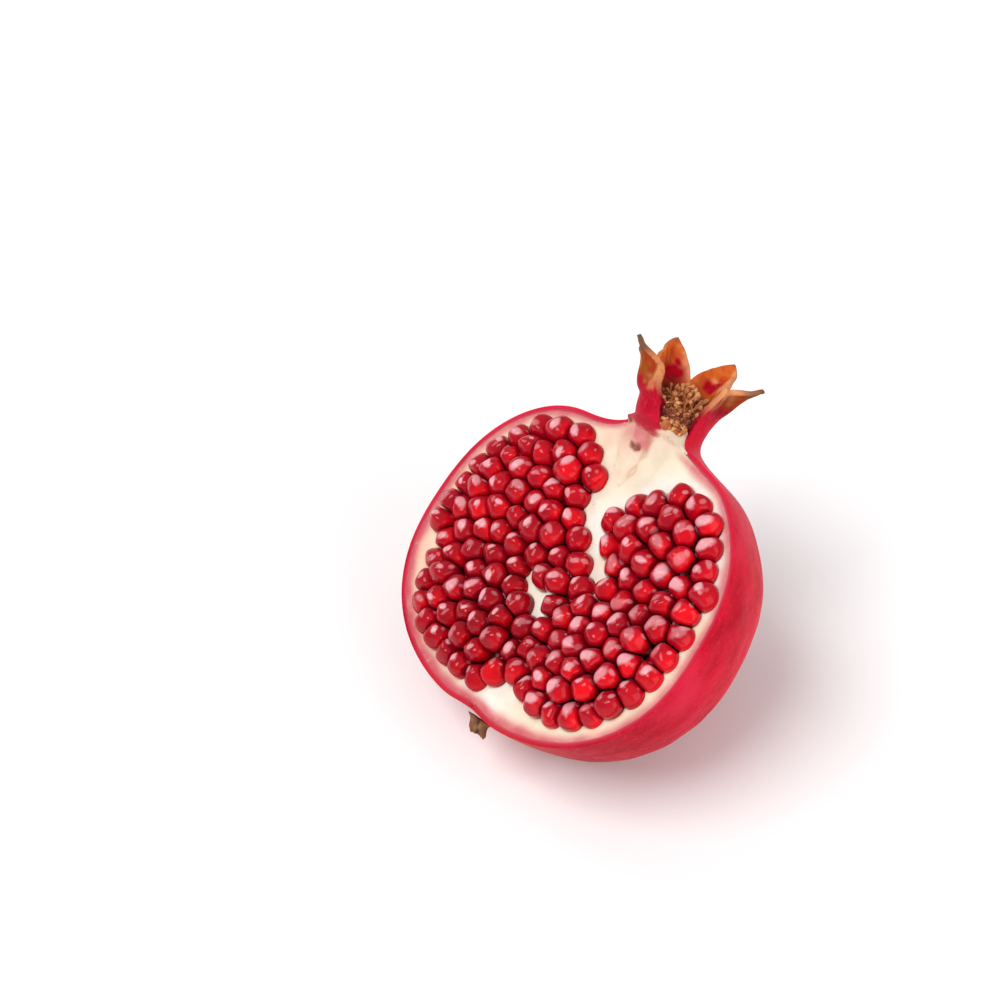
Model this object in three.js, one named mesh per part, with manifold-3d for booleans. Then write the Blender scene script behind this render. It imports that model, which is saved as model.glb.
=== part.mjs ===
// Half of a pomegranate, cut along its length and lying on its back. Millimetres, +Z up.
// The origin is the middle of the small flat spot that it rests on.
//
// The fruit has axes of its own. "along" runs from the stem to the crown, "out" is the way
// the cut face looks, and "side" runs across the cut face, so that side x along = out.
// A point of the skin is given by its distance from the axis (radius), its place along the
// axis (height) and its angle around the axis (turn: 0 at +side, 90 degrees at +out).
// The axes of the fruit stand still while its centre is set above the flat spot.

import * as THREE from 'three';
import { mergeVertices } from 'three/addons/utils/BufferGeometryUtils.js';
import Module from 'manifold-3d';

const wasm = await Module();
wasm.setup();

const degree = Math.PI / 180;

// How the half lies: the crown points up to the right, the cut face looks up to the left.
const viewLift = 48 * degree;
const crownLean = 55.7 * degree;
const faceTurn = 41 * degree;
const fruitCentre = new THREE.Vector3(-1.7, -2.5, 44.2);

// Body of the whole fruit.
const bodyRadius = 48;
const stemHeight = 40.5;
const crownHeight = 41;
const bodyPower = 2.3;
const ribCount = 6;
const ribDepth = 0.4;
const stemHollowDepth = 1.2;
const stemHollowRadius = 6;

// The shoulder hangs on one side and swells on the other, and the neck and crown lean.
// The neck swells towards one lobe, and the flank under the opposite lobe is a little flat.
const shoulderDrop = 3;
const shoulderDropRadius = 15;
const shoulderDropSpread = 12;
const shoulderSwell = 1;
const shoulderSwellRadius = 28;
const shoulderSwellSpread = 8;
const shoulderFade = { start: 43, end: 50 };
const neckShift = 1;
const neckShiftRise = { start: 36, end: 44 };
const neckSwell = { amount: 1.8, turn: -221, height: 46.6, spread: 2.4 };
const flankDip = { amount: 0.9, turn: -41, height: 9, spread: 11 };
const crownBend = 10 * degree;
const crownBendHeight = 47;
const crownBendRise = { start: 45, end: 50 };

// Neck and crown: waist of the neck, rim where the lobes part, and the tips of the lobes.
const shoulderAngle = 68 * degree;
const neckRootPull = 10;
const neckWaistPull = 6;
const waistRadius = 8.8;
const waistHeight = 47.2;
const rimRadius = 11.5;
const rimHeight = 55.6;
const tubeHollow = 0.4;
const lobeHollow = 0.2;
const crownWall = 1.8;
const tipWall = 0.8;
const cupFloorHeight = 44.2;

// Lobes that are kept, by the turn of their middle and the place of their tip, how full
// their sides are (0 for straight ones) and how far they bulge.
const lobeHalfWidth = 30;
const lobeKeel = 1.2;
const bulgeRise = { start: 0.1, end: 0.7 };
const bulgeFall = { start: 1.2, end: 2 };
const crownFoot = 0.14;
const skinAboveFloor = 1.2;
const fleshAboveFloor = 2.6;
const keptLobes = [
  { turn: -221, tipRadius: 15.3, tipHeight: 60.3, fullness: 0, bulge: 0.8 },
  { turn: -161, tipRadius: 13.4, tipHeight: 64.6, fullness: 0.2, bulge: 0 },
  { turn: -101, tipRadius: 16.3, tipHeight: 64.2, fullness: 0.1, bulge: 0 },
  { turn: -41, tipRadius: 15.5, tipHeight: 60.1, fullness: 0.1, bulge: 0.4 },
];

// The torn window in the front of the crown lies between these two turns.
const tearRight = { foot: 16, top: 4 };
const tearLeft = { foot: -285, top: -251 };
const neckWindow = { foot: 37, top: 48.2, middleTurn: 45, reach: 30 };

// Skin, flesh and the gap that neighbouring pieces keep.
const skinThickness = 1.4;
const gap = 0.3;
const chamberWall = 3.0;

// The cut: flat over the body, with a ramp of flesh that climbs to the front of the neck.
const cutOffset = 1;
const rampStart = 24;
const rampEnd = 42.5;
const rampRise = 11;
const rampBulge = 1.6;
const rampMiddle = 2;
const rampSpread = 8;
const rampFlare = { start: 39.5, end: 45, growth: 4 };
const rampSideSteps = [0, 3, 6, 9, 12, 15, 19, 27];
const rampHeights = [rampStart, 28, 32, 35, 38, 39.5, 41, 42, 43, 45, 60];

// Chambers of the cut face: outline points (side, along), joined by a smooth closed curve.
const chamberOutlines = {
  arils_upper: [
    [-22, 32], [-15.5, 31.8], [-10.5, 28.8], [-6, 26], [-4.4, 22.5], [-6, 18], [-4.8, 14.4],
    [-1.5, 12.2], [1.2, 9.8], [1.4, 7], [-1.6, 3.2], [-5.4, -0.8], [-9, -4.8], [-20, -6],
    [-32, -6.4], [-40.5, -6.2], [-43, -2.5], [-42.4, 4], [-41.5, 10], [-39.4, 17], [-35.6, 23.4],
    [-30, 29],
  ],
  arils_left: [
    [-39.2, -8.2], [-33, -7.5], [-21, -7.1], [-9.8, -6.4], [-6.8, -5.6], [-4.6, -8], [-1.8, -11.2],
    [1.4, -14], [4, -17], [5.3, -21], [5.3, -26], [3.4, -30.6], [-0.4, -34], [-4, -35.2],
    [-10, -34.2], [-16, -33.6], [-22, -32], [-28, -29.6], [-33.2, -26], [-35.6, -21], [-37, -15],
  ],
  arils_centre: [
    [-4.9, -3.2], [-1.7, 0.8], [2.2, 4.8], [5.4, 6.2], [8.4, 4.6], [9.2, 2], [11.8, 0.2],
    [14.2, -1.6], [13, -5.2], [10.2, -8.6], [7, -11], [4.6, -11.2], [3.2, -8.2], [-0.8, -5.6],
  ],
  arils_right: [
    [12.6, 29.9], [16, 32.2], [22, 33], [27.5, 31.9], [32.5, 29.2], [35.2, 25.4], [36.6, 21.4],
    [40.2, 17.6], [41.6, 13.6], [39.4, 10.4], [30, 7.2], [22, 3.9], [17.4, 1.6], [13.6, 4.8],
    [10.8, 7.8], [7.2, 9.2], [3.9, 11.6], [2.2, 15], [3.2, 19], [6.6, 22.4], [8.6, 26.2],
  ],
  arils_lower: [
    [39.9, 9.3], [42.4, 6], [42.6, 1], [42.4, -5], [41.6, -10], [39.6, -16], [36.4, -21],
    [32.6, -26.2], [27.2, -29.4], [21, -31.1], [15.5, -31], [11, -30], [7.8, -27.8], [6.3, -24],
    [6.4, -20], [5, -16.2], [5.2, -12.4], [8.4, -11.2], [11.6, -8.4], [14.4, -5], [15.8, -1],
    [18.4, 0.8], [23, 3.1], [31, 6.5],
  ],
};
const outlineSteps = 34;

// Arils: spacing, half widths across and along their length, and how high they stand.
const arilSpacing = 6.15;
const arilCrowding = 0.93;
const arilJitter = 0.35;
const arilEdgeShare = 0.7;
const arilRounds = 30;
const arilPush = 0.4;
const arilHalfWidth = 3;
const arilHalfLength = 4.7;
const arilInset = 2.7;
const arilRise = 1.8;
const arilRiseWidth = 5;
const arilScatter = 0.7;
const arilTilt = 0.24;
const coreTop = 0.4;

// Stamens: a cushion in the cup, given as (radius, height above the floor), and filaments.
const cushionOutline = [[6.4, 0], [6.6, 2], [4.6, 3.6]];
const stamenCount = 26;
const stamenRadius = 0.45;
const stamenFootDepth = 0.6;
const stamenFootRadius = 5.4;
const stamenTipRadius = 5.2;
const stamenTipHeight = 6.5;
const stamenTipScatter = 5.5;
const goldenAngle = 137.5 * degree;

// Stub of the stem: it stands beside the pole and leans on, thicker at its foot.
const stubRadius = 2.6;
const stubLength = 3.4;
const stubOffset = 3;
const stubLean = 1.6;
const stubGap = 0.1;
const stubProfile = [[0, 1.1], [0.25, 0.95], [0.8, 0.9], [1, 0.7]];

// Seeds of the draws that scatter the arils (one more for each chamber) and the stamens.
const arilSeed = 11;
const stamenSeed = 77;

// Steps of the faceted surfaces.
const bodyTurnSteps = 38;
const bodySteps = 14;
const chamberTurnSteps = 24;
const chamberSteps = 9;
const neckSteps = 4;
const crownSteps = 5;
const tearTurnStep = 8.5;
const lobeTurnStep = lobeHalfWidth / 4;
const roundSides = 16;
const stubSides = 12;

// ---------------------------------------------------------------- axes of the fruit

// Right, up and toward directions of someone who looks down at the fruit from the front.
const right = new THREE.Vector3(1, 0, 0);
const up = new THREE.Vector3(0, Math.sin(viewLift), Math.cos(viewLift));
const toward = new THREE.Vector3(0, -Math.cos(viewLift), Math.sin(viewLift));

const along = right.clone().multiplyScalar(Math.cos(crownLean)).addScaledVector(up, Math.sin(crownLean));
const across = right.clone().multiplyScalar(Math.sin(crownLean)).addScaledVector(up, -Math.cos(crownLean));
const side = across.clone().multiplyScalar(Math.cos(faceTurn)).addScaledVector(toward, Math.sin(faceTurn));
const out = toward.clone().multiplyScalar(Math.cos(faceTurn)).addScaledVector(across, -Math.sin(faceTurn));

// A point of the fruit, given on its own axes, as a point of the part.
function toPart(sideways, height, outward) {
  return fruitCentre.clone()
    .addScaledVector(side, sideways)
    .addScaledVector(along, height)
    .addScaledVector(out, outward);
}

function smoothStep(value, start, end) {
  const share = THREE.MathUtils.clamp((value - start) / (end - start), 0, 1);
  return share * share * (3 - 2 * share);
}

// Leans the neck and bends the crown in the plane that holds the axis and the "across" way.
function leanCrown(sideways, height, outward) {
  let acrossPart = sideways * Math.cos(faceTurn) - outward * Math.sin(faceTurn);
  const deepPart = sideways * Math.sin(faceTurn) + outward * Math.cos(faceTurn);
  acrossPart += neckShift * smoothStep(height, neckShiftRise.start, neckShiftRise.end);
  const bend = crownBend * smoothStep(height, crownBendRise.start, crownBendRise.end);
  const fromPivot = acrossPart - neckShift;
  const abovePivot = height - crownBendHeight;
  if (bend > 0) {
    acrossPart = neckShift + fromPivot * Math.cos(bend) - abovePivot * Math.sin(bend);
    height = crownBendHeight + fromPivot * Math.sin(bend) + abovePivot * Math.cos(bend);
  }
  return [
    acrossPart * Math.cos(faceTurn) + deepPart * Math.sin(faceTurn),
    height,
    deepPart * Math.cos(faceTurn) - acrossPart * Math.sin(faceTurn),
  ];
}

// How far the shoulder stands above (or hangs below) its round shape.
function shoulderShift(radius, turn) {
  const drop = shoulderDrop * Math.exp(-(((radius - shoulderDropRadius) / shoulderDropSpread) ** 2));
  const swell = shoulderSwell * Math.exp(-(((radius - shoulderSwellRadius) / shoulderSwellSpread) ** 2));
  return swell * (1 + Math.cos(turn)) / 2 - drop * (1 - Math.cos(turn)) / 2;
}

// A bell-shaped swelling around one height and one turn, from 0 to its amount.
function swelling({ amount, turn: middle, height: level, spread }, height, turn) {
  const facing = (1 + Math.cos(turn - middle * degree)) / 2;
  return amount * facing ** 3 * Math.exp(-(((height - level) / spread) ** 2));
}

// A point of the skin or of a layer under it, from radius, height and turn.
function skinPoint(radius, height, turn) {
  const rib = ribDepth * Math.cos(ribCount * (turn - keptLobes[0].turn * degree));
  const ribShare = THREE.MathUtils.clamp(1 - Math.abs(height) / crownHeight, 0, 1);
  const swollen = swelling(neckSwell, height, turn) - swelling(flankDip, height, turn);
  const ribbed = radius + swollen * Math.min(1, radius / waistRadius)
    + rib * ribShare * Math.min(1, radius / bodyRadius);
  const fade = smoothStep(height, shoulderFade.start, shoulderFade.end);
  const shoulderShare = height > 0 ? 1 - fade : 0;
  const shifted = height + shoulderShare * shoulderShift(radius, turn);
  return toPart(...leanCrown(ribbed * Math.cos(turn), shifted, ribbed * Math.sin(turn)));
}

// ---------------------------------------------------------------- outline of the whole fruit

// Outline of the body at an angle from its widest place, as (radius, height).
function bodyOutline(angle) {
  const radius = bodyRadius * Math.cos(angle) ** (2 / bodyPower);
  const reach = angle < 0 ? stemHeight : crownHeight;
  const height = reach * Math.sign(angle) * Math.abs(Math.sin(angle)) ** (2 / bodyPower);
  const fromStem = radius / stemHollowRadius;
  const hollow = angle < 0 ? stemHollowDepth * Math.exp(-fromStem * fromStem) : 0;
  return new THREE.Vector2(radius, height + hollow);
}

// The neck leaves the shoulder along its tangent and rises to the waist.
function neckCurve() {
  const start = bodyOutline(shoulderAngle);
  const step = bodyOutline(shoulderAngle + 0.01).sub(start).normalize();
  const waist = new THREE.Vector2(waistRadius, waistHeight);
  return new THREE.CubicBezierCurve(
    start,
    start.clone().addScaledVector(step, neckRootPull),
    new THREE.Vector2(waistRadius, waistHeight - neckWaistPull),
    waist,
  );
}

// The crown flares from the waist over the rim to the tip of a lobe.
function crownCurve({ tipRadius, tipHeight }) {
  return new THREE.SplineCurve([
    new THREE.Vector2(waistRadius, waistHeight),
    new THREE.Vector2(
      (waistRadius + rimRadius) / 2 - tubeHollow,
      (waistHeight + rimHeight) / 2 - tubeHollow,
    ),
    new THREE.Vector2(rimRadius, rimHeight),
    new THREE.Vector2((rimRadius + tipRadius) / 2 - lobeHollow, (rimHeight + tipHeight) / 2),
    new THREE.Vector2(tipRadius, tipHeight),
  ]);
}

// Shifts an outline inward by a depth, at right angles to itself.
function inset(outline, depth) {
  return outline.map((point, index) => {
    const before = outline[Math.max(index - 1, 0)];
    const after = outline[Math.min(index + 1, outline.length - 1)];
    const tangent = after.clone().sub(before).normalize();
    const shifted = new THREE.Vector2(point.x - depth * tangent.y, point.y + depth * tangent.x);
    shifted.x = Math.max(shifted.x, 0);
    return shifted;
  });
}

// Outline from the stem to a height in the neck, shifted inward by a depth.
function fruitOutline(depth, topHeight, steps) {
  const points = [];
  for (let step = 0; step <= steps; step += 1) {
    const share = step / steps;
    points.push(bodyOutline(-Math.PI / 2 + share * (Math.PI / 2 + shoulderAngle)));
  }
  const neck = neckCurve();
  for (let step = 1; step <= neckSteps; step += 1) points.push(neck.getPoint(step / neckSteps));
  const shifted = inset(points, depth);
  shifted[0].x = 0;
  const kept = shifted.filter((point) => point.y < topHeight - 0.6);
  const next = shifted[kept.length];
  const last = kept[kept.length - 1];
  const share = (topHeight - last.y) / (next.y - last.y);
  kept.push(last.clone().lerp(next, share));
  return kept;
}

// ---------------------------------------------------------------- closed meshes and solids

// A closed geometry through rings of points, closed at both ends by a fan around a middle.
function loft(rings, middles = [centreOf(rings[0]), centreOf(rings[rings.length - 1])]) {
  const count = rings[0].length;
  const positions = [...rings.flat(), ...middles].flatMap((point) => point.toArray());
  const indices = [];
  for (let ring = 0; ring + 1 < rings.length; ring += 1) {
    for (let corner = 0; corner < count; corner += 1) {
      const here = ring * count + corner;
      const beside = ring * count + ((corner + 1) % count);
      indices.push(here, beside, here + count);
      indices.push(beside, beside + count, here + count);
    }
  }
  const firstMiddle = rings.length * count;
  const lastRing = (rings.length - 1) * count;
  for (let corner = 0; corner < count; corner += 1) {
    const beside = (corner + 1) % count;
    indices.push(firstMiddle, beside, corner);
    indices.push(firstMiddle + 1, lastRing + corner, lastRing + beside);
  }
  const geometry = new THREE.BufferGeometry();
  geometry.setAttribute('position', new THREE.Float32BufferAttribute(positions, 3));
  geometry.setIndex(indices);
  return geometry;
}

function centreOf(points) {
  const middle = new THREE.Vector3();
  points.forEach((point) => middle.addScaledVector(point, 1 / points.length));
  return middle;
}

// A geometry as a manifold solid, with its shared vertices merged.
function solid(geometry) {
  const bare = geometry.clone();
  bare.deleteAttribute('normal');
  bare.deleteAttribute('uv');
  const merged = mergeVertices(bare, 1e-4);
  return new wasm.Manifold(new wasm.Mesh({
    numProp: 3,
    vertProperties: new Float32Array(merged.attributes.position.array),
    triVerts: new Uint32Array(merged.index.array),
  }));
}

// A manifold solid as a named mesh with its own material.
function namedMesh(name, body, color, roughness) {
  const result = body.getMesh();
  const geometry = new THREE.BufferGeometry();
  geometry.setAttribute('position', new THREE.Float32BufferAttribute(result.vertProperties, 3));
  geometry.setIndex(Array.from(result.triVerts));
  geometry.computeVertexNormals();
  const material = new THREE.MeshStandardMaterial({ color, roughness, metalness: 0 });
  const mesh = new THREE.Mesh(geometry, material);
  mesh.name = name;
  return mesh;
}

// ---------------------------------------------------------------- the fruit before it is cut

// The whole fruit under a depth of skin, up to a height in the neck, flat where it rests.
function wholeFruit(depth, topHeight, steps = bodySteps, turnSteps = bodyTurnSteps) {
  const outline = fruitOutline(depth, topHeight, steps);
  const rings = outline.slice(1).map(({ x: radius, y: height }) => {
    const ring = [];
    for (let corner = 0; corner < turnSteps; corner += 1) {
      const point = skinPoint(radius, height, -(corner + 0.5) / turnSteps * Math.PI * 2);
      point.z = Math.max(point.z, depth);
      ring.push(point);
    }
    return ring;
  });
  const stemPole = toPart(0, outline[0].y, 0);
  return solid(loft(rings, [stemPole, centreOf(rings[rings.length - 1])]));
}

// How far the cut stands out of the middle plane at a place on the face.
function cutHeight(sideways, height) {
  const share = THREE.MathUtils.clamp((height - rampStart) / (rampEnd - rampStart), 0, 1);
  const climb = share ** rampBulge;
  const flare = rampFlare.growth * smoothStep(height, rampFlare.start, rampFlare.end);
  const spread = rampSpread * (1 + flare);
  return cutOffset + rampRise * climb * Math.exp(-(((sideways - rampMiddle) / spread) ** 2));
}

// A block under the cut surface, between lines across the face and lines along it.
function blockUnderCut(sides, heights) {
  const rings = heights.map((height) => {
    const ring = sides.map((sideways) => toPart(sideways, height, cutHeight(sideways, height)));
    ring.push(toPart(sides[sides.length - 1], height, 0), toPart(sides[0], height, 0));
    return ring;
  });
  return solid(loft(rings));
}

// What the cut leaves: everything behind the middle plane, and the ramp.
function keptSide() {
  const far = 2 * bodyRadius;
  const corners = [[-far, cutOffset], [far, cutOffset], [far, -far], [-far, -far]];
  const behind = [-far, far].map((height) => (
    corners.map(([sideways, outward]) => toPart(sideways, height, outward))
  ));
  const leftSides = rampSideSteps.slice(1).reverse().map((step) => rampMiddle - step);
  const sides = [...leftSides, ...rampSideSteps.map((step) => rampMiddle + step)];
  const ramp = blockUnderCut(sides, rampHeights);
  return solid(loft(behind)).add(ramp);
}

// ---------------------------------------------------------------- rind with its crown

// The lobe that a turn belongs to, the nearest one at the torn window.
function lobeAt(turn) {
  const distance = (lobe) => Math.abs(turn - lobe.turn);
  return keptLobes.reduce((best, lobe) => (distance(lobe) < distance(best) ? lobe : best));
}

// How far the crown reaches at a turn: 0 at the foot, 1 at the rim, 2 at the tip of a lobe.
function crownReach(turn) {
  const lobe = lobeAt(turn);
  const fromMiddle = Math.abs(turn - lobe.turn) / lobeHalfWidth;
  if (fromMiddle <= 1) return 2 - (1 - lobe.fullness) * fromMiddle - lobe.fullness * fromMiddle ** 4;
  const tear = turn > keptLobes[0].turn ? tearRight : tearLeft;
  return THREE.MathUtils.clamp((turn - tear.foot) / (tear.top - tear.foot), 0, 1);
}

// The crown as one shell: tube and lobes, each column ending at its own reach.
function crownShell() {
  const neck = neckCurve();
  const turns = [];
  for (let turn = tearLeft.foot; turn < tearLeft.top; turn += tearTurnStep) turns.push(turn);
  for (let turn = tearLeft.top; turn < tearRight.top; turn += lobeTurnStep) turns.push(turn);
  turns.push(tearRight.top, (tearRight.top + tearRight.foot) / 2, tearRight.foot);
  const columns = turns.map((turn) => {
    const lobe = lobeAt(turn);
    const crown = crownCurve(lobe);
    const reach = crownReach(turn);
    const fold = Math.cos((turn - lobe.turn) / lobeHalfWidth * Math.PI);
    const outer = [];
    const inner = [];
    for (let step = 0; step <= crownSteps; step += 1) {
      const place = (reach + crownFoot) * (step / crownSteps) - crownFoot;
      const line = place < 0 ? neck.getPoint(1 + place) : crown.getPoint(place / 2);
      const tangent = place < 0 ? neck.getTangent(1 + place) : crown.getTangent(place / 2);
      const wall = THREE.MathUtils.lerp(crownWall, tipWall, THREE.MathUtils.clamp(place - 1, 0, 1));
      const sunk = step === 0 ? gap : 0;
      const swell = smoothStep(place, bulgeRise.start, bulgeRise.end)
        - smoothStep(place, bulgeFall.start, bulgeFall.end);
      const radius = line.x + lobeKeel * fold * smoothStep(place, 0, 1)
        + lobe.bulge * swell * (1 + fold) / 2;
      outer.push(skinPoint(radius - sunk, line.y, turn * degree));
      inner.push(skinPoint(radius - wall * tangent.y, line.y + wall * tangent.x, turn * degree));
    }
    return [...outer, ...inner.reverse()];
  });
  return solid(loft(columns));
}

// The torn window of the neck, from its foot upward.
function makeNeckWindow() {
  const { foot, top, middleTurn, reach } = neckWindow;
  const turns = [tearLeft.foot + 360, middleTurn, tearRight.foot];
  const rings = [foot, top].map((height) => [
    skinPoint(0, height, 0),
    ...turns.map((turn) => skinPoint(reach, height, turn * degree)),
  ]);
  return solid(loft(rings));
}

function makeRind(kept) {
  const skin = wholeFruit(0, cupFloorHeight + skinAboveFloor);
  const flesh = wholeFruit(skinThickness, cupFloorHeight + fleshAboveFloor);
  return skin.intersect(kept).subtract(flesh).subtract(makeNeckWindow()).add(crownShell());
}

// ---------------------------------------------------------------- cut face

// A closed outline on the cut face, smooth through its points and moved inward by a margin.
function faceOutline(points, margin) {
  const curve = new THREE.CatmullRomCurve3(
    points.map(([sideways, height]) => new THREE.Vector3(sideways, height, 0)),
    true,
  );
  const ring = curve.getPoints(outlineSteps).slice(0, -1);
  if (THREE.ShapeUtils.isClockWise(ring)) ring.reverse();
  return ring.map((point, index) => {
    const before = ring[(index + ring.length - 1) % ring.length];
    const after = ring[(index + 1) % ring.length];
    const tangent = after.clone().sub(before).normalize();
    return new THREE.Vector2(point.x - margin * tangent.y, point.y + margin * tangent.x);
  });
}

// A prism over a face outline, between two heights out of the face.
function facePrism(outline, bottom, top) {
  const rings = [bottom, top].map((outward) => (
    outline.map((point) => toPart(point.x, point.y, outward))
  ));
  return solid(loft(rings));
}

// A chamber: the prism over its outline, down to the wall that the flesh keeps.
function chamber(points, margin, top) {
  const prism = facePrism(faceOutline(points, margin), -bodyRadius, top);
  const room = wholeFruit(chamberWall + margin, cupFloorHeight, chamberSteps, chamberTurnSteps);
  return prism.intersect(room);
}

function makePith(kept) {
  let pith = wholeFruit(skinThickness + gap, cupFloorHeight).intersect(kept);
  Object.values(chamberOutlines).forEach((points) => {
    pith = pith.subtract(chamber(points, 0, bodyRadius));
  });
  return pith;
}

// ---------------------------------------------------------------- arils

// Numbers from 0 to 1 that are the same on every run.
function seededDraw(seed) {
  let state = seed;
  return () => {
    state = (Math.imul(state, 1664525) + 1013904223) >>> 0;
    return state / 4294967296;
  };
}

// How deep a point lies inside an outline, and the way that leads inward from its edge.
function edgeDepth(outline, point) {
  let nearest = { depth: Infinity };
  let inside = false;
  outline.forEach((start, index) => {
    const end = outline[(index + 1) % outline.length];
    const edge = end.clone().sub(start);
    const share = THREE.MathUtils.clamp(point.clone().sub(start).dot(edge) / edge.lengthSq(), 0, 1);
    const away = point.clone().sub(start.clone().addScaledVector(edge, share));
    if (away.length() < nearest.depth) nearest = { depth: away.length(), away };
    const crosses = (start.y > point.y) !== (end.y > point.y);
    if (crosses && point.x < start.x + edge.x * (point.y - start.y) / edge.y) inside = !inside;
  });
  const sign = inside ? 1 : -1;
  return { depth: nearest.depth * sign, inward: nearest.away.multiplyScalar(sign / nearest.depth) };
}

// Places of the arils in an outline: shifted rows, scattered, then pushed evenly apart.
function arilPlaces(outline, draw) {
  const box = new THREE.Box2().setFromPoints(outline);
  const columnStep = arilCrowding * arilSpacing;
  const rowStep = columnStep * Math.sqrt(0.75);
  let places = [];
  for (let row = 0; box.min.y + row * rowStep < box.max.y; row += 1) {
    for (let column = 0; box.min.x + column * columnStep < box.max.x; column += 1) {
      const place = new THREE.Vector2(
        box.min.x + (column + 0.25 + (row % 2) / 2 + arilJitter * (draw() - 0.5)) * columnStep,
        box.min.y + (row + 0.5) * rowStep + arilJitter * (draw() - 0.5) * columnStep,
      );
      if (edgeDepth(outline, place).depth > arilEdgeShare * arilInset) places.push(place);
    }
  }
  for (let round = 0; round < arilRounds; round += 1) {
    places = places.map((place, index) => {
      const moved = place.clone();
      places.forEach((other, otherIndex) => {
        const apart = place.clone().sub(other);
        const distance = apart.length();
        if (index !== otherIndex && distance < arilSpacing) {
          moved.addScaledVector(apart, arilPush * (arilSpacing - distance) / distance);
        }
      });
      const edge = edgeDepth(outline, moved);
      return moved.addScaledVector(edge.inward, Math.max(arilInset - edge.depth, 0));
    });
  }
  return places;
}

// One aril: a long ellipsoid, its length turned a little out of the way that the face looks.
function arilGeometry(outline, place, draw) {
  const edge = edgeDepth(outline, place);
  const rise = arilRise * THREE.MathUtils.clamp((edge.depth - arilInset) / arilRiseWidth, 0, 1);
  const outward = cutOffset + rise + arilScatter * (2 * draw() - 1);
  const middle = toPart(place.x, place.y, outward);
  const length = out.clone()
    .addScaledVector(side, arilTilt * (draw() - 0.5))
    .addScaledVector(along, arilTilt * (draw() - 0.5))
    .normalize();
  const width = along.clone().cross(length).normalize();
  const depth = width.clone().cross(length);
  const frame = new THREE.Matrix4().makeBasis(
    width.multiplyScalar(arilHalfWidth),
    length.multiplyScalar(arilHalfLength),
    depth.multiplyScalar(arilHalfWidth),
  );
  return new THREE.SphereGeometry(1, 6, 4).applyMatrix4(frame.setPosition(middle));
}

// The arils of one chamber, fused to the core that stands for those below.
function makeArils(points, seed) {
  const draw = seededDraw(seed);
  const outline = faceOutline(points, 0);
  const places = arilPlaces(outline, draw);
  let cluster = chamber(points, gap, cutOffset + coreTop);
  places.forEach((place) => {
    cluster = cluster.add(solid(arilGeometry(outline, place, draw)));
  });
  return cluster.intersect(facePrism(faceOutline(points, gap), -bodyRadius, bodyRadius));
}

// ---------------------------------------------------------------- stamens and stem

// A filament from a foot in the cup to its anther, three-sided.
function filament(foot, tip) {
  const stations = [[0, 0.9], [0.84, 0.9], [1, 1.7]];
  const axis = tip.clone().sub(foot).normalize();
  const first = new THREE.Vector3().crossVectors(axis, side).normalize();
  const second = new THREE.Vector3().crossVectors(axis, first);
  const rings = stations.map(([share, thickness]) => [0, 120, 240].map((turn) => (
    foot.clone().lerp(tip, share)
      .addScaledVector(first, stamenRadius * thickness * Math.cos(turn * degree))
      .addScaledVector(second, stamenRadius * thickness * Math.sin(turn * degree))
  )));
  return solid(loft(rings));
}

// The dry tuft in the cup: a low cushion with filaments set by the golden angle.
function makeStamens() {
  const draw = seededDraw(stamenSeed);
  const floor = cupFloorHeight + gap;
  const cushion = cushionOutline.map(([radius, height]) => {
    const ring = [];
    for (let corner = 0; corner < roundSides; corner += 1) {
      ring.push(skinPoint(radius, floor + height, -corner / roundSides * Math.PI * 2));
    }
    return ring;
  });
  let tuft = solid(loft(cushion));
  for (let index = 0; index < stamenCount; index += 1) {
    const turn = index * goldenAngle;
    const share = Math.sqrt((index + 0.5) / stamenCount);
    const tipTurn = turn + 0.9 * (draw() - 0.5);
    const tipRadius = (0.6 + 0.9 * draw()) * stamenTipRadius * share;
    const tipHeight = floor + stamenTipHeight + stamenTipScatter * draw() * (1.2 - share);
    tuft = tuft.add(filament(
      skinPoint(stamenFootRadius * share, floor + stamenFootDepth, turn),
      skinPoint(tipRadius, tipHeight, tipTurn),
    ));
  }
  return tuft;
}

// The stub of the stem, beside the pole of the fruit, a little bent.
function makeStemStub() {
  const base = -(stemHeight + stubGap);
  const rings = stubProfile.map(([share, thickness]) => {
    const ring = [];
    const middle = stubOffset + stubLean * share;
    for (let corner = 0; corner < stubSides; corner += 1) {
      const turn = corner / stubSides * Math.PI * 2;
      const sideways = middle * Math.cos(faceTurn) + stubRadius * thickness * Math.cos(turn);
      const outward = -middle * Math.sin(faceTurn) + stubRadius * thickness * Math.sin(turn);
      ring.push(toPart(sideways, base - share * stubLength, outward));
    }
    return ring;
  });
  return solid(loft(rings));
}

// ---------------------------------------------------------------- the half pomegranate

const kept = keptSide();
const pomegranate = new THREE.Group();
pomegranate.add(
  namedMesh('rind', makeRind(kept), 0xb5162c, 0.45),
  namedMesh('pith', makePith(kept), 0xf2e2bf, 0.75),
  namedMesh('stamens', makeStamens(), 0x9a5a2c, 0.85),
  namedMesh('stem_stub', makeStemStub(), 0x7a4a2a, 0.85),
);
Object.entries(chamberOutlines).forEach(([name, points], index) => {
  pomegranate.add(namedMesh(name, makeArils(points, arilSeed + index), 0x9c0a18, 0.15));
});

export default pomegranate;
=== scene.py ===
"""Half a pomegranate lying on its back: skin, flesh, arils, dry stamens and a stub of stem.

Lengths inside the functions are millimetres, and a mesh gets metres. The fruit has axes of
its own: along runs from the stem to the crown, out is the way the cut face looks, and side
runs across the cut face. A point of the skin is given by its distance from the axis
(radius), its place along the axis (height) and its angle around the axis (turn, in radians,
0 at +side and a quarter turn at +out).
"""

import math

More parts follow.
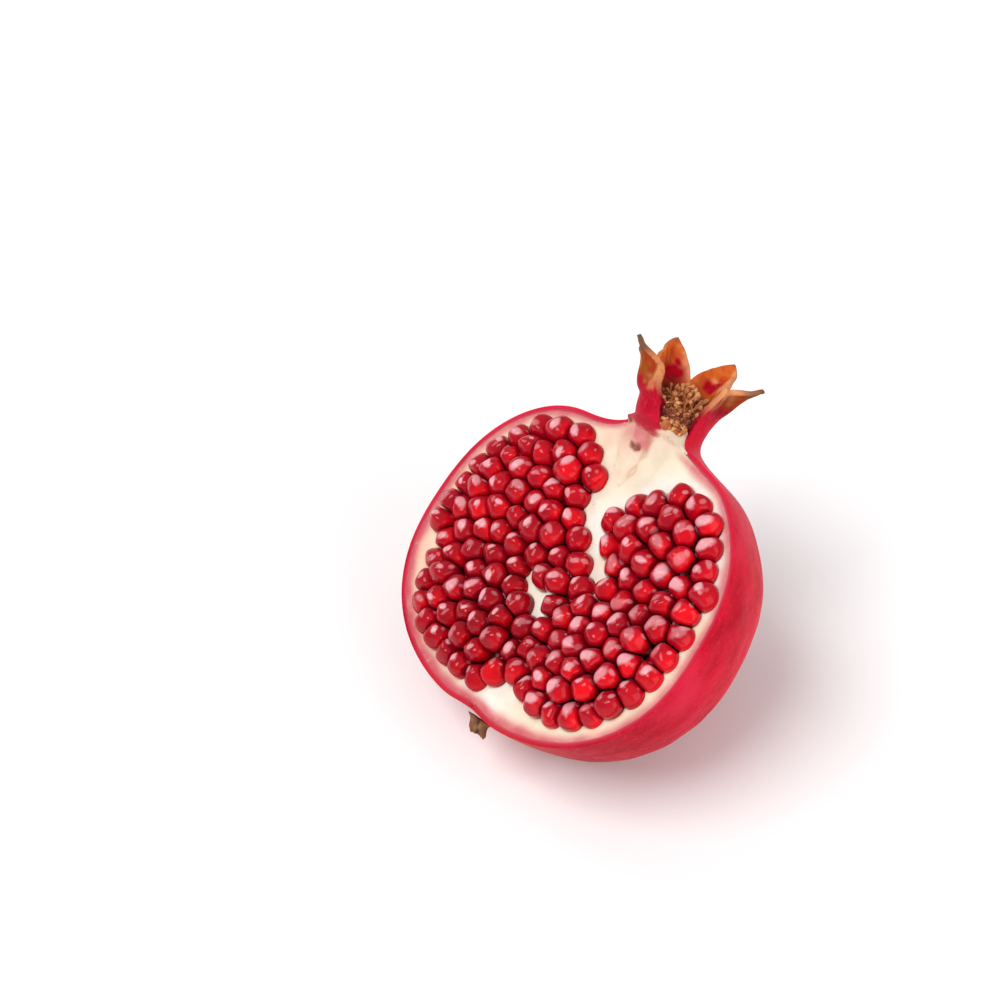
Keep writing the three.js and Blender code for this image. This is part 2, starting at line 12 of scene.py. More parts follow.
import bmesh
import bpy
import numpy as np
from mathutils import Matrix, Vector


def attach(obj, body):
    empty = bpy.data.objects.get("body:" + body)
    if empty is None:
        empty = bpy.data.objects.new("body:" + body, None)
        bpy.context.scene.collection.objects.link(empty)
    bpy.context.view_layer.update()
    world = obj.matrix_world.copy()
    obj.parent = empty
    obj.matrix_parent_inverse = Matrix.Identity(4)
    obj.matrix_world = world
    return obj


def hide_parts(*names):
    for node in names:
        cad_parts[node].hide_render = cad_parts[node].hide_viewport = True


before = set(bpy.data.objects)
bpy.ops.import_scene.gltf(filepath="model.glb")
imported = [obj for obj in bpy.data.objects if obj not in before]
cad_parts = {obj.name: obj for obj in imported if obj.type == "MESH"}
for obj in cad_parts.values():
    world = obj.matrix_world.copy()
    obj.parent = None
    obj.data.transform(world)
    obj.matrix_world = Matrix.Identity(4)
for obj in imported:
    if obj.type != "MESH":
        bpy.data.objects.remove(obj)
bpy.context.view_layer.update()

bl_info = {
    "name": "Half pomegranate",
    "version": (1, 0, 0),
    "blender": (4, 5, 0),
    "location": "View3D > Sidebar > Pomegranate",
    "description": "Builds the skin, flesh, arils, stamens and stem of a cut pomegranate",
    "category": "Object",
}

MM = 0.001
TAU = 2 * math.pi
GOLDEN = math.radians(137.5)

# How the half lies, and the middle of its axis.
LIFT, LEAN, FACE = (math.radians(angle) for angle in (48, 55.7, 41))
CENTRE = np.array([-1.7, -2.5, 44.2])
RIGHT = np.array([1.0, 0, 0])
UP = np.array([0, math.sin(LIFT), math.cos(LIFT)])
TOWARD = np.array([0, -math.cos(LIFT), math.sin(LIFT)])
ALONG = RIGHT * math.cos(LEAN) + UP * math.sin(LEAN)
ACROSS = RIGHT * math.sin(LEAN) - UP * math.cos(LEAN)
SIDE = ACROSS * math.cos(FACE) + TOWARD * math.sin(FACE)
OUT = TOWARD * math.cos(FACE) - ACROSS * math.sin(FACE)

# Body, neck and crown of the whole fruit. The hollow at the stem has a depth and a width.
BODY_RADIUS, STEM_HEIGHT, CROWN_HEIGHT, BODY_POWER = 48, 40.5, 41, 2.3
SHOULDER_ANGLE = math.radians(68)
RIBS, RIB_HEIGHT, SHOULDER_DROP = 6, 0.4, 3
STEM_HOLLOW = (1.2, 6)
WAIST, RIM = (8.8, 47.2), (11.5, 55.6)
CUP_FLOOR = 44.2
# Heights over which the neck moves 1 mm aside, and the crown's bend with its pivot.
NECK_SHIFT, BEND_HEIGHTS = (36, 44), (45, 50)
BEND, PIVOT = math.radians(10), (1, 47)
LOBE_HALF = math.radians(30)
# Lobes: turn of the middle (degrees), radius and height of the tip, fullness and bulge.
LOBES = np.array([
    (-221, 15.3, 60.3, -0.5, 0.8),
    (-161, 13.4, 64.6, 0.2, 0.0),
    (-101, 16.3, 64.2, 0.1, 0.0),
    (-41, 15.5, 60.1, -0.3, 0.4),
])
LOBES[:, 0] = np.radians(LOBES[:, 0])
# Notches between lobes: turn and half width of a wide one and of a deep one.
WIDE_NOTCH, DEEP_NOTCH = (math.radians(-191), 0.24), (math.radians(-71), 0.14)
# The neck's swelling and dip and the flank's dip: amount, turn (degrees), height, spread.
NECK_SWELL, NECK_DIP = (2.0, -221, 49, 4.0), (1.7, -215, 42.6, 1.7)
FLANK_DIP = (0.9, -41, 9, 11)
# Turns where the crown is torn open, at the foot and at the top of each tear.
TEAR_RIGHT = (math.radians(16), math.radians(4))
TEAR_LEFT = (math.radians(-280), math.radians(-246))
# The cut: its place out of the middle plane, and the ramp's start, length and rise.
CUT_OUT, RAMP_START, RAMP_LENGTH, RAMP_RISE = 1, 24, 18.5, 11
# The flesh: its depth under the skin, and the room that an aril keeps from its wall.
FLESH_DEPTH, WALL_ROOM = 0.75, 2.7
# Steps across the rind's cut edge, from the outer to the inner layer.
EDGE_CELLS = np.linspace(0, 1, 6)
# Heights of the rind's rows, how many rows lie below each, and the rows of the crown.
RIND_HEIGHTS, RIND_ROWS, CROWN_ROWS = (36.0, 38.0, WAIST[1]), (88, 10, 44), 44
# Where the ring of the neck begins, and heights over which its columns keep their turn.
NECK_START, TURN_KEPT = 37, (34, 39)
# Distances of arils: how near the last push leaves them, how far from all a free place
# lies before it gets one more, and how far the layer below keeps from the upper one.
PUSH_REACH, FREE_REACH, LAYER_REACH = 6.5, 4.35, 3.7
# The shape of an aril: powers that say how square and how sharply cut it is, how far its
# neighbours count, and the least distance of a plane that cuts it.
SQUARENESS, SHARPNESS, NEIGHBOUR_REACH, LEAST_PLANE = 2.2, 15, 9.5, 1.6
# Ways (side, along, out) in which arils shine, and of their painted glow, painted sheen rim and second
# painted highlight.
SHINE, GLOW_WAY, RIM_WAY, SPOT_WAY = (np.array(way) for way in (
    (-0.10, 0.14, 0.98), (0.88, -0.08, 0.46), (-0.75, 0.5, 0.45), (0.5, 0.5, 0.7)))
# Pockets of the flesh: their radius, and how sharply they meet.
POCKET_RADIUS, POCKET_SHARPNESS = 3.3, 2.6

# Chambers of the cut face, as outline points (side, along).
CHAMBERS = {
    "upper": [
        (-22, 32), (-15.5, 31.8), (-10.5, 28.8), (-6, 26), (-4.4, 22.5), (-6, 18), (-4.8, 14.4),
        (-1.5, 12.2), (1.2, 9.8), (1.4, 7), (-1.6, 3.2), (-5.4, -0.8), (-9, -4.8), (-20, -6),
        (-32, -6.4), (-40.5, -6.2), (-43, -2.5), (-42.4, 4), (-41.5, 10), (-39.4, 17),
        (-35.6, 23.4), (-30, 29)],
    "left": [
        (-39.2, -8.2), (-33, -7.5), (-21, -7.1), (-9.8, -6.4), (-6.8, -5.6), (-4.6, -8),
        (-1.8, -11.2), (1.4, -14), (4, -17), (5.3, -21), (5.3, -26), (3.4, -30.6), (-0.4, -34),
        (-4, -35.2), (-10, -34.2), (-16, -33.6), (-22, -32), (-28, -29.6), (-33.2, -26),
        (-35.6, -21), (-37, -15)],
    "centre": [
        (-4.9, -3.2), (-1.7, 0.8), (2.2, 4.8), (5.4, 6.2), (8.4, 4.6), (9.2, 2), (11.8, 0.2),
        (14.2, -1.6), (13, -5.2), (10.2, -8.6), (7, -11), (4.6, -11.2), (3.2, -8.2),
        (-0.8, -5.6)],
    "right": [
        (12.6, 29.9), (16, 32.2), (22, 33), (27.5, 31.9), (32.5, 29.2), (35.2, 25.4),
        (36.6, 21.4), (40.2, 17.6), (41.6, 13.6), (39.4, 10.4), (30, 7.2), (22, 3.9),
        (17.4, 1.6), (13.6, 4.8), (10.8, 7.8), (7.2, 9.2), (3.9, 11.6), (2.2, 15), (3.2, 19),
        (6.6, 22.4), (8.6, 26.2)],
    "lower": [
        (39.9, 9.3), (42.4, 6), (42.6, 1), (42.4, -5), (41.6, -10), (39.6, -16), (36.4, -21),
        (32.6, -26.2), (27.2, -29.4), (21, -31.1), (15.5, -31), (11, -30), (7.8, -27.8),
        (6.3, -24), (6.4, -20), (5, -16.2), (5.2, -12.4), (8.4, -11.2), (11.6, -8.4),
        (14.4, -5), (15.8, -1), (18.4, 0.8), (23, 3.1), (31, 6.5)],
}


# Places (side, along) of bare flesh between the arils, with their half widths.
BARE = np.array([
    (-4.9, -5.6, 3.6), (-1.2, -9.4, 3.9), (1.6, -11.8, 3.8), (-3.4, 18.4, 4.6), (-0.4, 15.6, 4.6),
    (2.5, 12.6, 4.4), (5.2, 9.6, 4.4), (7.6, 6.4, 4.2), (10.2, 3, 4.2), (12.6, -0.8, 3.6),
    (6.2, -29.6, 4.2), (2.6, 6.8, 3.9)])


def tone(red, green, blue):
    """A colour given by its screen values, 0 to 255, as the linear values that shaders use."""
    share = np.array([red, green, blue]) / 255
    linear = np.where(share <= 0.04045, share / 12.92, ((share + 0.055) / 1.055) ** 2.4)
    return tuple(float(value) for value in linear)


def colour(name, description, *values):
    """A colour property with a default given by its screen values."""
    return bpy.props.FloatVectorProperty(
        name=name, description=description, subtype="COLOR", size=3, min=0, max=1,
        default=tone(*values))


def length(name, description, millimetres):
    """A length property with a default given in millimetres."""
    return bpy.props.FloatProperty(
        name=name, description=description, unit="LENGTH", min=0, precision=5,
        default=millimetres * MM)


# ---------------------------------------------------------------- settings

class SkinSettings(bpy.types.PropertyGroup):
    """Sizes and colours of the rind and its crown."""
    thickness: length("Thickness", "Thickness of the rind over the body", 1.4)
    crown_wall: length("Crown wall", "Thickness of the crown at its waist", 1.8)
    tip_wall: length("Tip wall", "Thickness of the lobes at their tips", 0.8)
    crimson: colour("Crimson", "Main colour of the skin", 206, 5, 40)
    rose: colour("Rose", "Paler patches of the skin", 226, 38, 68)
    # Deep red: streaks and patches, and also painted shade over the half towards the stem.
    deep: colour("Deep red", "Darkest streaks of the skin", 126, 2, 16)
    pink: colour("Pink", "Middle of the rind's cut edge", 184, 44, 68)
    cut: colour("Cut edge", "Where the rind turns into flesh", 198, 94, 102)
    lobe: colour("Lobe", "Dry orange-brown of the lobes", 210, 98, 36)
    lobe_light: colour("Lobe light", "Palest parts of the lobes", 232, 160, 112)
    lobe_tip: colour("Lobe tip", "Grey-brown tips of the lobes", 116, 80, 62)
    lobe_red: colour("Lobe red", "Red patches on the lobes", 174, 6, 28)
    # Cup: painted shade, the dark inside of the crown's tube.
    cup: colour("Cup", "Inside of the crown's tube", 84, 6, 16)


class FleshSettings(bpy.types.PropertyGroup):
    """Sizes and colours of the pith."""
    pocket: length("Pocket depth", "Depth of the pockets that hold the arils", 8)
    cream: colour("Cream", "Main colour of the flesh", 234, 221, 196)
    white: colour("White", "Palest flesh, near the membranes", 243, 239, 230)
    blush: colour("Blush", "Peach tint of the flesh near the rind", 236, 190, 162)
    fringe: colour("Fringe", "Pink edge beside the rind", 208, 94, 106)
    tan: colour("Tan", "Old creases and bruises", 186, 122, 76)
    rust: colour("Rust", "Small dry hole below the neck", 142, 52, 30)
    crimson: colour("Crimson", "Skin that runs over the flesh", 186, 18, 48)
    # Juice stain and painted shade: the dark red down in the pockets.
    juice_stain_and_shade: colour("Stain", "Juice in the pockets", 96, 6, 16)


class ArilSettings(bpy.types.PropertyGroup):
    """Sizes and colours of the arils."""
    spacing: length("Spacing", "Usual distance between two arils", 6.15)
    half_width: length("Half width", "Half width of a free aril", 3.75)
    half_length: length("Half length", "Half length of an aril", 4.8)
    clearance: length("Clearance", "Gap between neighbours", 0.14)
    ruby: colour("Ruby", "Colour of the rounded ends", 177, 5, 28)
    # Glow: painted light, brighter red on the side of an aril away from the light.
    glow: colour("Glow", "Brightest red inside an aril", 234, 8, 26)
    # Maroon: painted shade at the arils' feet, between them and over their lower layer; also darker
    # arils at random.
    maroon: colour("Maroon", "Dark sides between the arils", 150, 10, 32)
    # Mauve: painted sheen, a clear pale rim on the side of an aril towards the light.
    mauve: colour("Mauve", "Clear skin at the edge of an aril", 168, 92, 108)
    # Pale: painted highlights, partly where the seed shows through.
    pale: colour("Pale", "Where the seed shows through", 228, 160, 167)


class TuftSettings(bpy.types.PropertyGroup):
    """Sizes and colours of the dry stamens."""
    count: bpy.props.IntProperty(
        name="Count", description="Number of filaments", default=150, min=8, max=300)
    filament: length("Filament", "Radius of a filament", 0.26)
    brown: colour("Brown", "Main colour of the dry stamens", 176, 98, 48)
    straw: colour("Straw", "Palest filaments", 228, 166, 108)
    rust: colour("Rust", "Reddest filaments", 140, 40, 26)


class StubSettings(bpy.types.PropertyGroup):
    """Sizes and colours of the stub of the stem."""
    radius: length("Radius", "Radius of the stub", 2.6)
    reach: length("Length", "Length of the stub", 3.4)
    bark: colour("Bark", "Main colour of the stub", 124, 78, 50)
    dark: colour("Crack", "Cracks of the bark", 48, 26, 18)
    wood: colour("Wood", "Broken wood at the end", 196, 152, 108)


class StageSettings(bpy.types.PropertyGroup):
    """Floor, light and camera."""
    floor: colour("Floor", "Colour of the floor", 246, 246, 246)
    sky: bpy.props.FloatProperty(
        name="Sky", description="Strength of the even light", default=0.46, min=0)
    key: bpy.props.FloatProperty(
        name="Key", description="Strength of the large soft light", default=2.0, min=0)
    fill: bpy.props.FloatProperty(
        name="Fill", description="Strength of the light from the front", default=5.0, min=0)
    distance: bpy.props.FloatProperty(
        name="Camera distance", description="From the camera to the aim", default=0.667,
        min=0.1, unit="LENGTH")


# ---------------------------------------------------------------- numbers

def smooth(value, start, end):
    """0 before start, 1 after end, and a soft S between them."""
    share = np.clip((value - start) / (end - start), 0, 1)
    return share * share * (3 - 2 * share)


def mix(first, second, share):
    """Colours or points between first and second, by one share or one for each row."""
    return first + (np.asarray(second) - first) * np.asarray(share)[..., None]


def unit(vectors):
    """Vectors stretched or shortened to length 1."""
    return vectors / np.linalg.norm(vectors, axis=-1, keepdims=True).clip(1e-9)


def bell(value, middle, width):
    """A bell curve: 1 at the middle, and 1/e at one width from it."""
    return np.exp(-((value - middle) / width) ** 2)


def tones(looks, names):
    """Colours of a group of settings, by their names, as arrays."""
    return [np.array(getattr(looks, name)) for name in names.split()]

def draws(seed):
    """Numbers from 0 to 1 that are the same on every run: state * 1664525 + 1013904223."""
    state = seed
    while True:
        state = (state * 1664525 + 1013904223) & 0xFFFFFFFF
        yield state / 4294967296


def ripple(points, size, seed, count=14):
    """Soft waves over points: the mean of sines whose directions and phases are drawn."""
    made = np.random.default_rng(seed)
    ways = made.normal(size=(count, points.shape[-1]))
    ways *= (0.6 + 0.8 * made.random((count, 1))) / np.linalg.norm(ways, axis=1, keepdims=True)
    phases = made.random(count) * TAU
    return np.sin(points @ ways.T * (TAU / size) + phases).sum(-1) * math.sqrt(2 / count)


# ---------------------------------------------------------------- the fruit's own shape

def to_part(point):
    """Points (side, along, out) of the fruit as points of the part, in millimetres."""
    return CENTRE + point[..., :1] * SIDE + point[..., 1:2] * ALONG + point[..., 2:3] * OUT


def swelling(shape, height, turn):
    """A swelling around one turn and one height: a cosine cubed times a bell curve."""
    amount, middle, level, spread = shape
    facing = (1 + np.cos(turn - math.radians(middle))) / 2
    return amount * facing ** 3 * bell(height, level, spread)


def skin_point(radius, height, turn):
    """A point (side, along, out) of the skin or of a layer under it.

    Six low ribs follow the cosine of the turn, the neck swells and the flank dips, the
    shoulder hangs or swells by two bell curves of the radius, and the neck is shifted and
    the crown bent over its pivot."""
    radius, height, turn = np.broadcast_arrays(radius, height, turn)
    rib = RIB_HEIGHT * np.cos(RIBS * (turn - LOBES[0, 0]))
    rib = rib * np.clip(1 - np.abs(height) / CROWN_HEIGHT, 0, 1) * np.minimum(1, radius / BODY_RADIUS)
    swollen = (swelling(NECK_SWELL, height, turn) - swelling(NECK_DIP, height, turn)
               - swelling(FLANK_DIP, height, turn))
    ribbed = radius + rib + swollen * np.minimum(1, radius / WAIST[0])
    drop = SHOULDER_DROP * bell(radius, 15, 12) * (1 - np.cos(turn)) / 2
    swell = bell(radius, 28, 8) * (1 + np.cos(turn)) / 2
    share = np.where(height > 0, 1 - smooth(height, 43, 50), 0)
    shifted = height + share * (swell - drop)
    side, out = ribbed * np.cos(turn), ribbed * np.sin(turn)
    over = side * math.cos(FACE) - out * math.sin(FACE) + smooth(shifted, *NECK_SHIFT)
    deep = side * math.sin(FACE) + out * math.cos(FACE)
    bend = BEND * smooth(shifted, *BEND_HEIGHTS)
    reach, rise = over - PIVOT[0], shifted - PIVOT[1]
    over = PIVOT[0] + reach * np.cos(bend) - rise * np.sin(bend)
    lifted = PIVOT[1] + reach * np.sin(bend) + rise * np.cos(bend)
    return np.stack([
        over * math.cos(FACE) + deep * math.sin(FACE),
        lifted,
        deep * math.cos(FACE) - over * math.sin(FACE)], -1)


def outline(steps=3000):
    """The body and neck as dense points (radius, height), from the stem to the waist.

    The body is a superellipse with a shallow hollow at the stem. The neck is a cubic curve
    that leaves the shoulder along its tangent and rises to the waist."""
    angle = np.linspace(-math.pi / 2, SHOULDER_ANGLE, steps)
    radius = BODY_RADIUS * np.cos(angle).clip(0) ** (2 / BODY_POWER)
    reach = np.where(angle < 0, STEM_HEIGHT, CROWN_HEIGHT)
    height = reach * np.sign(angle) * np.abs(np.sin(angle)) ** (2 / BODY_POWER)
    height += np.where(angle < 0, STEM_HOLLOW[0] * bell(radius, 0, STEM_HOLLOW[1]), 0)
    body = np.stack([radius, height], -1)
    start = body[-1]
    second = start + unit(body[-1] - body[-2]) * 10
    third, waist = np.array([WAIST[0], WAIST[1] - 6]), np.array(WAIST)
    t = np.linspace(0, 1, steps // 4)[1:, None]
    neck = ((1 - t) ** 3 * start + 3 * (1 - t) ** 2 * t * second
            + 3 * (1 - t) * t ** 2 * third + t ** 3 * waist)
    return np.concatenate([body, neck])


def rows_of(dense, tops, counts):
    """Points and tangents of an outline, even by length between the heights in tops."""
    step = np.linalg.norm(np.diff(dense, axis=0), axis=1)
    way = np.concatenate([[0], np.cumsum(step)])
    stops = [0.0] + [float(np.interp(top, dense[:, 1], way)) for top in tops]
    places = [np.linspace(stops[i], stops[i + 1], counts[i], endpoint=False)
              for i in range(len(tops))]
    places = np.concatenate(places + [[stops[-1]]])
    point = np.stack([np.interp(places, way, dense[:, i]) for i in (0, 1)], -1)
    near, far = places - 0.05, places + 0.05
    tangent = np.stack([np.interp(far, way, dense[:, i]) - np.interp(near, way, dense[:, i])
                        for i in (0, 1)], -1)
    return point, unit(tangent)


def under(point, tangent, depth):
    """An outline shifted inward by a depth, at right angles to itself."""
    radius = point[:, 0] - depth * tangent[:, 1]
    return np.stack([radius.clip(0), point[:, 1] + depth * tangent[:, 0]], -1)


def neck_foot(side):
    """How far along the face the skin of the neck begins to lap over the flesh."""
    return np.interp(side, [-14, -10, -6, -2, 0.75, 3.1, 5, 6.4, 7.4, 8.2],
                     [42, 39.7, 39.8, 39.6, 39.2, 39.2, 39.6, 41, 44, 50])


def cut_height(side, along):
    """How far the cut stands out of the middle plane: flat, with a ramp up to the neck.

    Left of the ramp's top the skin of the neck laps over the flesh, so nothing is cut."""
    climb = np.clip((along - RAMP_START) / RAMP_LENGTH, 0, 1) ** 1.6
    spread = 8 * (1 + 4 * smooth(along, 39.5, 45))
    lap = 9 * smooth(along - neck_foot(side), -0.2, 1.2)
    return CUT_OUT + RAMP_RISE * climb * bell(side, 2, spread) + lap


def edge_turns(profile, right_limit, left_limit):
    """Turns at which each ring of a profile meets the cut, on its right and on its left.

    Each ring is sampled from its back to its front, and the first place where it stands
    out of the cut is found between two samples."""
    edges, rows = [], np.arange(len(profile))
    swing = np.linspace(0, 1.2 * math.pi, 1729)
    for way, limit, nearer in ((1, right_limit, np.minimum), (-1, left_limit, np.maximum)):
        turn = -math.pi / 2 + way * swing
        point = skin_point(profile[:, :1], profile[:, 1:2], turn[None])
        over = point[..., 2] - cut_height(point[..., 0], point[..., 1])
        hit = over > 0
        first = np.where(hit.any(1), hit.argmax(1), len(swing) - 1).clip(1)
        low, high = over[rows, first - 1], over[rows, first]
        share = np.where(hit.any(1), -low / np.where(high == low, 1, high - low), 1).clip(0, 1)
        edges.append(nearer(turn[first - 1] + share * (turn[first] - turn[first - 1]), limit))
    return edges


def lobe_index(turn):
    """Numbers of the lobes that are nearest to turns."""
    return np.abs(turn[:, None] - LOBES[None, :, 0]).argmin(1)


def lobe_rows(turn):
    """For each turn, its nearest lobe and how far it lies from the lobe's middle."""
    lobe = LOBES[lobe_index(turn)]
    return lobe, (turn - lobe[:, 0]) / LOBE_HALF


def crown_reach(turn):
    """How far the crown reaches: 1 at the rim and 2 at a tip, falling to 0 along the tears."""
    lobe, off = lobe_rows(turn)
    far = np.abs(off).clip(0, 1)
    tip = 2 - (1 - lobe[:, 3]) * far - lobe[:, 3] * far ** 4
    tip = tip - 0.18 * bell(turn, *DEEP_NOTCH)
    foot, top = (np.where(turn > LOBES[0, 0], TEAR_RIGHT[i], TEAR_LEFT[i]) for i in (0, 1))
    tear = np.clip((turn - foot) / (top - foot), 0, 1)
    return np.where((np.abs(off) <= 1) & (tear >= 1), tip, tear)


def crown_line(lobe, place):
    """Points of the crown's outline for rows of places over columns of lobes.

    A Catmull-Rom curve runs through the waist, the tube, the rim, the lobe and its tip."""
    tips = lobe[:, 1:3]
    waist, rim = np.array(WAIST), np.array(RIM)
    knots = np.stack([
        np.broadcast_to(waist, tips.shape), np.broadcast_to((waist + rim) / 2 - 0.4, tips.shape),
        np.broadcast_to(rim, tips.shape), (rim + tips) / 2 - np.array([0.2, 0]), tips])
    at = np.clip(place, 0, 2) * 2
    whole = np.minimum(at.astype(int), 3)
    t = (at - whole)[..., None]
    column = np.arange(len(lobe))[None]
    p0, p1, p2, p3 = (knots[np.clip(whole + i, 0, 4), column] for i in (-1, 0, 1, 2))
    v0, v1 = (p2 - p0) / 2, (p3 - p1) / 2
    return (2 * p1 - 2 * p2 + v0 + v1) * t ** 3 + (3 * p2 - 3 * p1 - 2 * v0 - v1) * t ** 2 + v0 * t + p1


# ---------------------------------------------------------------- meshes and materials

def grid_faces(rows, columns, around=False, first=0):
    """Quads of a grid of rows and columns, closed around its rows if wanted."""
    row = np.arange(rows - 1)[:, None] * columns
    here = np.arange(columns if around else columns - 1)[None]
    beside = (here + 1) % columns
    return first + np.stack([
        row + here, row + beside, row + beside + columns, row + here + columns],
        -1).reshape(-1, 4)


def copies(quads, count, size):
    """The quads of one body repeated for a number of bodies with so many points each."""
    return (np.arange(count)[:, None, None] * size + quads[None]).reshape(-1, 4)


def join(*bodies):
    """Bodies, each with its points, faces and paints, as one."""
    points, faces, paints = zip(*bodies)
    firsts = np.cumsum([0] + [len(part) for part in points[:-1]])
    return (np.concatenate(points),
            np.concatenate([first + part for first, part in zip(firsts, faces)]),
            {label: np.concatenate([paint[label] for paint in paints]) for label in paints[0]})


def put(name, data):
    """A new object with its data, linked into the scene."""
    made = bpy.data.objects.new(name, data)
    bpy.context.scene.collection.objects.link(made)
    return made


def make_piece(name, body, node, material, sharp=None):
    """Puts a body into a closed mesh and ties it to the frame.

    A body has points in millimetres, quads, and paints: named attributes, one value, vector
    or colour for each point. Doubles are merged, flat faces dissolved and all faces turned
    outward. Edges bent by more than sharp, in degrees, are shaded as edges."""
    points, faces, paints = body
    mesh = bpy.data.meshes.new(name)
    mesh.from_pydata((points * MM).tolist(), [], faces.tolist())
    for label, values in paints.items():
        kind, field = ("FLOAT", "value") if values.ndim == 1 else ("FLOAT_VECTOR", "vector")
        if label == "paint":
            kind, field = "FLOAT_COLOR", "color"
            values = np.concatenate([values, np.ones((len(values), 1))], 1)
        layer = mesh.attributes.new(label, kind, "POINT")
        layer.data.foreach_set(field, np.ascontiguousarray(values, np.float32).ravel())
    work = bmesh.new()
    work.from_mesh(mesh)
    bmesh.ops.remove_doubles(work, verts=work.verts, dist=2e-6)
    bmesh.ops.dissolve_degenerate(work, edges=work.edges, dist=1e-6)
    bmesh.ops.recalc_face_normals(work, faces=work.faces)
    work.to_mesh(mesh)
    work.free()
    mesh.shade_smooth()
    if sharp:
        mesh.set_sharp_from_angle(angle=math.radians(sharp))
    mesh.materials.append(material)
    piece = put(name, mesh)
    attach(piece, "root")
    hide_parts(node)


class Shading:
    """A material under work: its node tree, its shader and short ways to add nodes."""

    def __init__(self, name, **values):
        self.material = bpy.data.materials.new(name)
        self.material.use_nodes = True
        self.tree = self.material.node_tree
        self.shader = self.tree.nodes["Principled BSDF"]
        for socket, value in values.items():
            self.shader.inputs[socket.replace("_", " ")].default_value = value
        self.place = self.add("ShaderNodeTexCoord").outputs["Object"]

    def add(self, kind, inputs=(), **settings):
        """Adds a node with settings, and sets or links the inputs it is given."""
        made = self.tree.nodes.new(kind)
        for key, value in settings.items():
            setattr(made, key, value)
        for key, value in dict(inputs).items():
            if isinstance(value, bpy.types.NodeSocket):
                self.tree.links.new(value, made.inputs[key])
            else:
                made.inputs[key].default_value = value
        return made

    def read(self, label, field="Fac"):
        """The value, vector or colour of a named attribute."""
        return self.add("ShaderNodeAttribute", attribute_name=label).outputs[field]

    def noise(self, scale, detail=3.0, rough=0.55, where=None):
        """Soft noise from 0 to 1; scale counts its patches in a metre."""
        inputs = {"Vector": where or self.place, "Scale": scale, "Detail": detail,
                  "Roughness": rough}
        return self.add("ShaderNodeTexNoise", inputs).outputs[0]

    def span(self, value, low, high, to_low=0.0, to_high=1.0):
        """Maps a value between low and high to the range asked for, clamped."""
        inputs = {0: value, 1: low, 2: high, 3: to_low, 4: to_high}
        return self.add("ShaderNodeMapRange", inputs).outputs[0]

    def math(self, operation, *values):
        """One sum, product or other operation on values."""
        return self.add("ShaderNodeMath", dict(enumerate(values)), operation=operation).outputs[0]

    def blend(self, share, first, second):
        """Mixes two colours by a share."""
        return self.add("ShaderNodeMix", {0: share, 6: first, 7: second},
                        data_type="RGBA").outputs[2]

    def tinge(self, tint, over, value, low, high, most, part=None):
        """Lays a colour over a tint as a value rises from low to high, up to the share most.

        Where a part is given, the share is multiplied by it."""
        share = self.span(value, low, high, 0, most)
        if part:
            share = self.math("MULTIPLY", share, part)
        return self.blend(share, tint, rgba(over))

    def stretch(self, vector, scale):
        """A vector with its three parts scaled."""
        return self.add("ShaderNodeMapping", {0: vector, 3: scale}).outputs[0]

    def bump(self, height, strength, distance, normal=None):
        """Relief from a height, on top of another relief if one is given."""
        inputs = {"Height": height, "Strength": strength, "Distance": distance}
        if normal:
            inputs["Normal"] = normal
        return self.add("ShaderNodeBump", inputs).outputs[0]

    def wire(self, **links):
        """Links outputs to the shader's sockets."""
        for socket, output in links.items():
            self.tree.links.new(output, self.shader.inputs[socket.replace("_", " ")])
        return self.material


def rgba(values):
    """A colour property as the four values a socket takes."""
    return (*values, 1.0)


# ---------------------------------------------------------------- rind and crown

class POMEGRANATE_OT_skin(bpy.types.Operator):
    """Rind of the half with its neck and crown, one thick sheet open at the cut"""
    bl_idname = "pomegranate.skin"
    bl_label = "Skin and crown"

    def execute(self, context):
        looks = context.scene.pomegranate_skin
        make_piece("skin", skin_sheet(looks), "rind", skin_material(looks), 55)
        return {"FINISHED"}


def skin_columns():
    """Turns of the sheet's columns from its right edge to its left, one on each lobe tip."""
    stops = np.radians([16, 4, -11, -41, -71, -101, -131, -161, -191, -221, -246, -280])
    counts = [8, 8] + [20] * 7 + [18, 24]
    turns = [np.linspace(stops[i], stops[i + 1], counts[i], endpoint=False)
             for i in range(len(counts))]
    return np.concatenate(turns + [stops[-1:]])


def ring_turns(profile, turns):
    """Turns of the columns on each ring of the body and neck.

    On the body the columns share the ring evenly between the edges of the cut. Around the
    neck they keep their own turn and end at the edge together."""
    high = profile[:, 1] > NECK_START
    foot, top = TEAR_LEFT
    right, left = edge_turns(
        profile,
        np.where(high, TEAR_RIGHT[0], math.pi / 2),
        np.where(high, foot - 0.35 * (1 - smooth(profile[:, 1], 41, 47)), -1.5 * math.pi))
    pull = (np.minimum(left, foot) - top)[:, None] / (foot - top)
    own = np.where(turns > top, turns[None], top + (turns - top)[None] * pull)
    own = np.clip(own, left[:, None], right[:, None])
    share = (turns - turns[0]) / (turns[-1] - turns[0])
    even = right[:, None] + (left - right)[:, None] * share[None]
    return even + (own - even) * smooth(profile[:, 1:2], *TURN_KEPT)


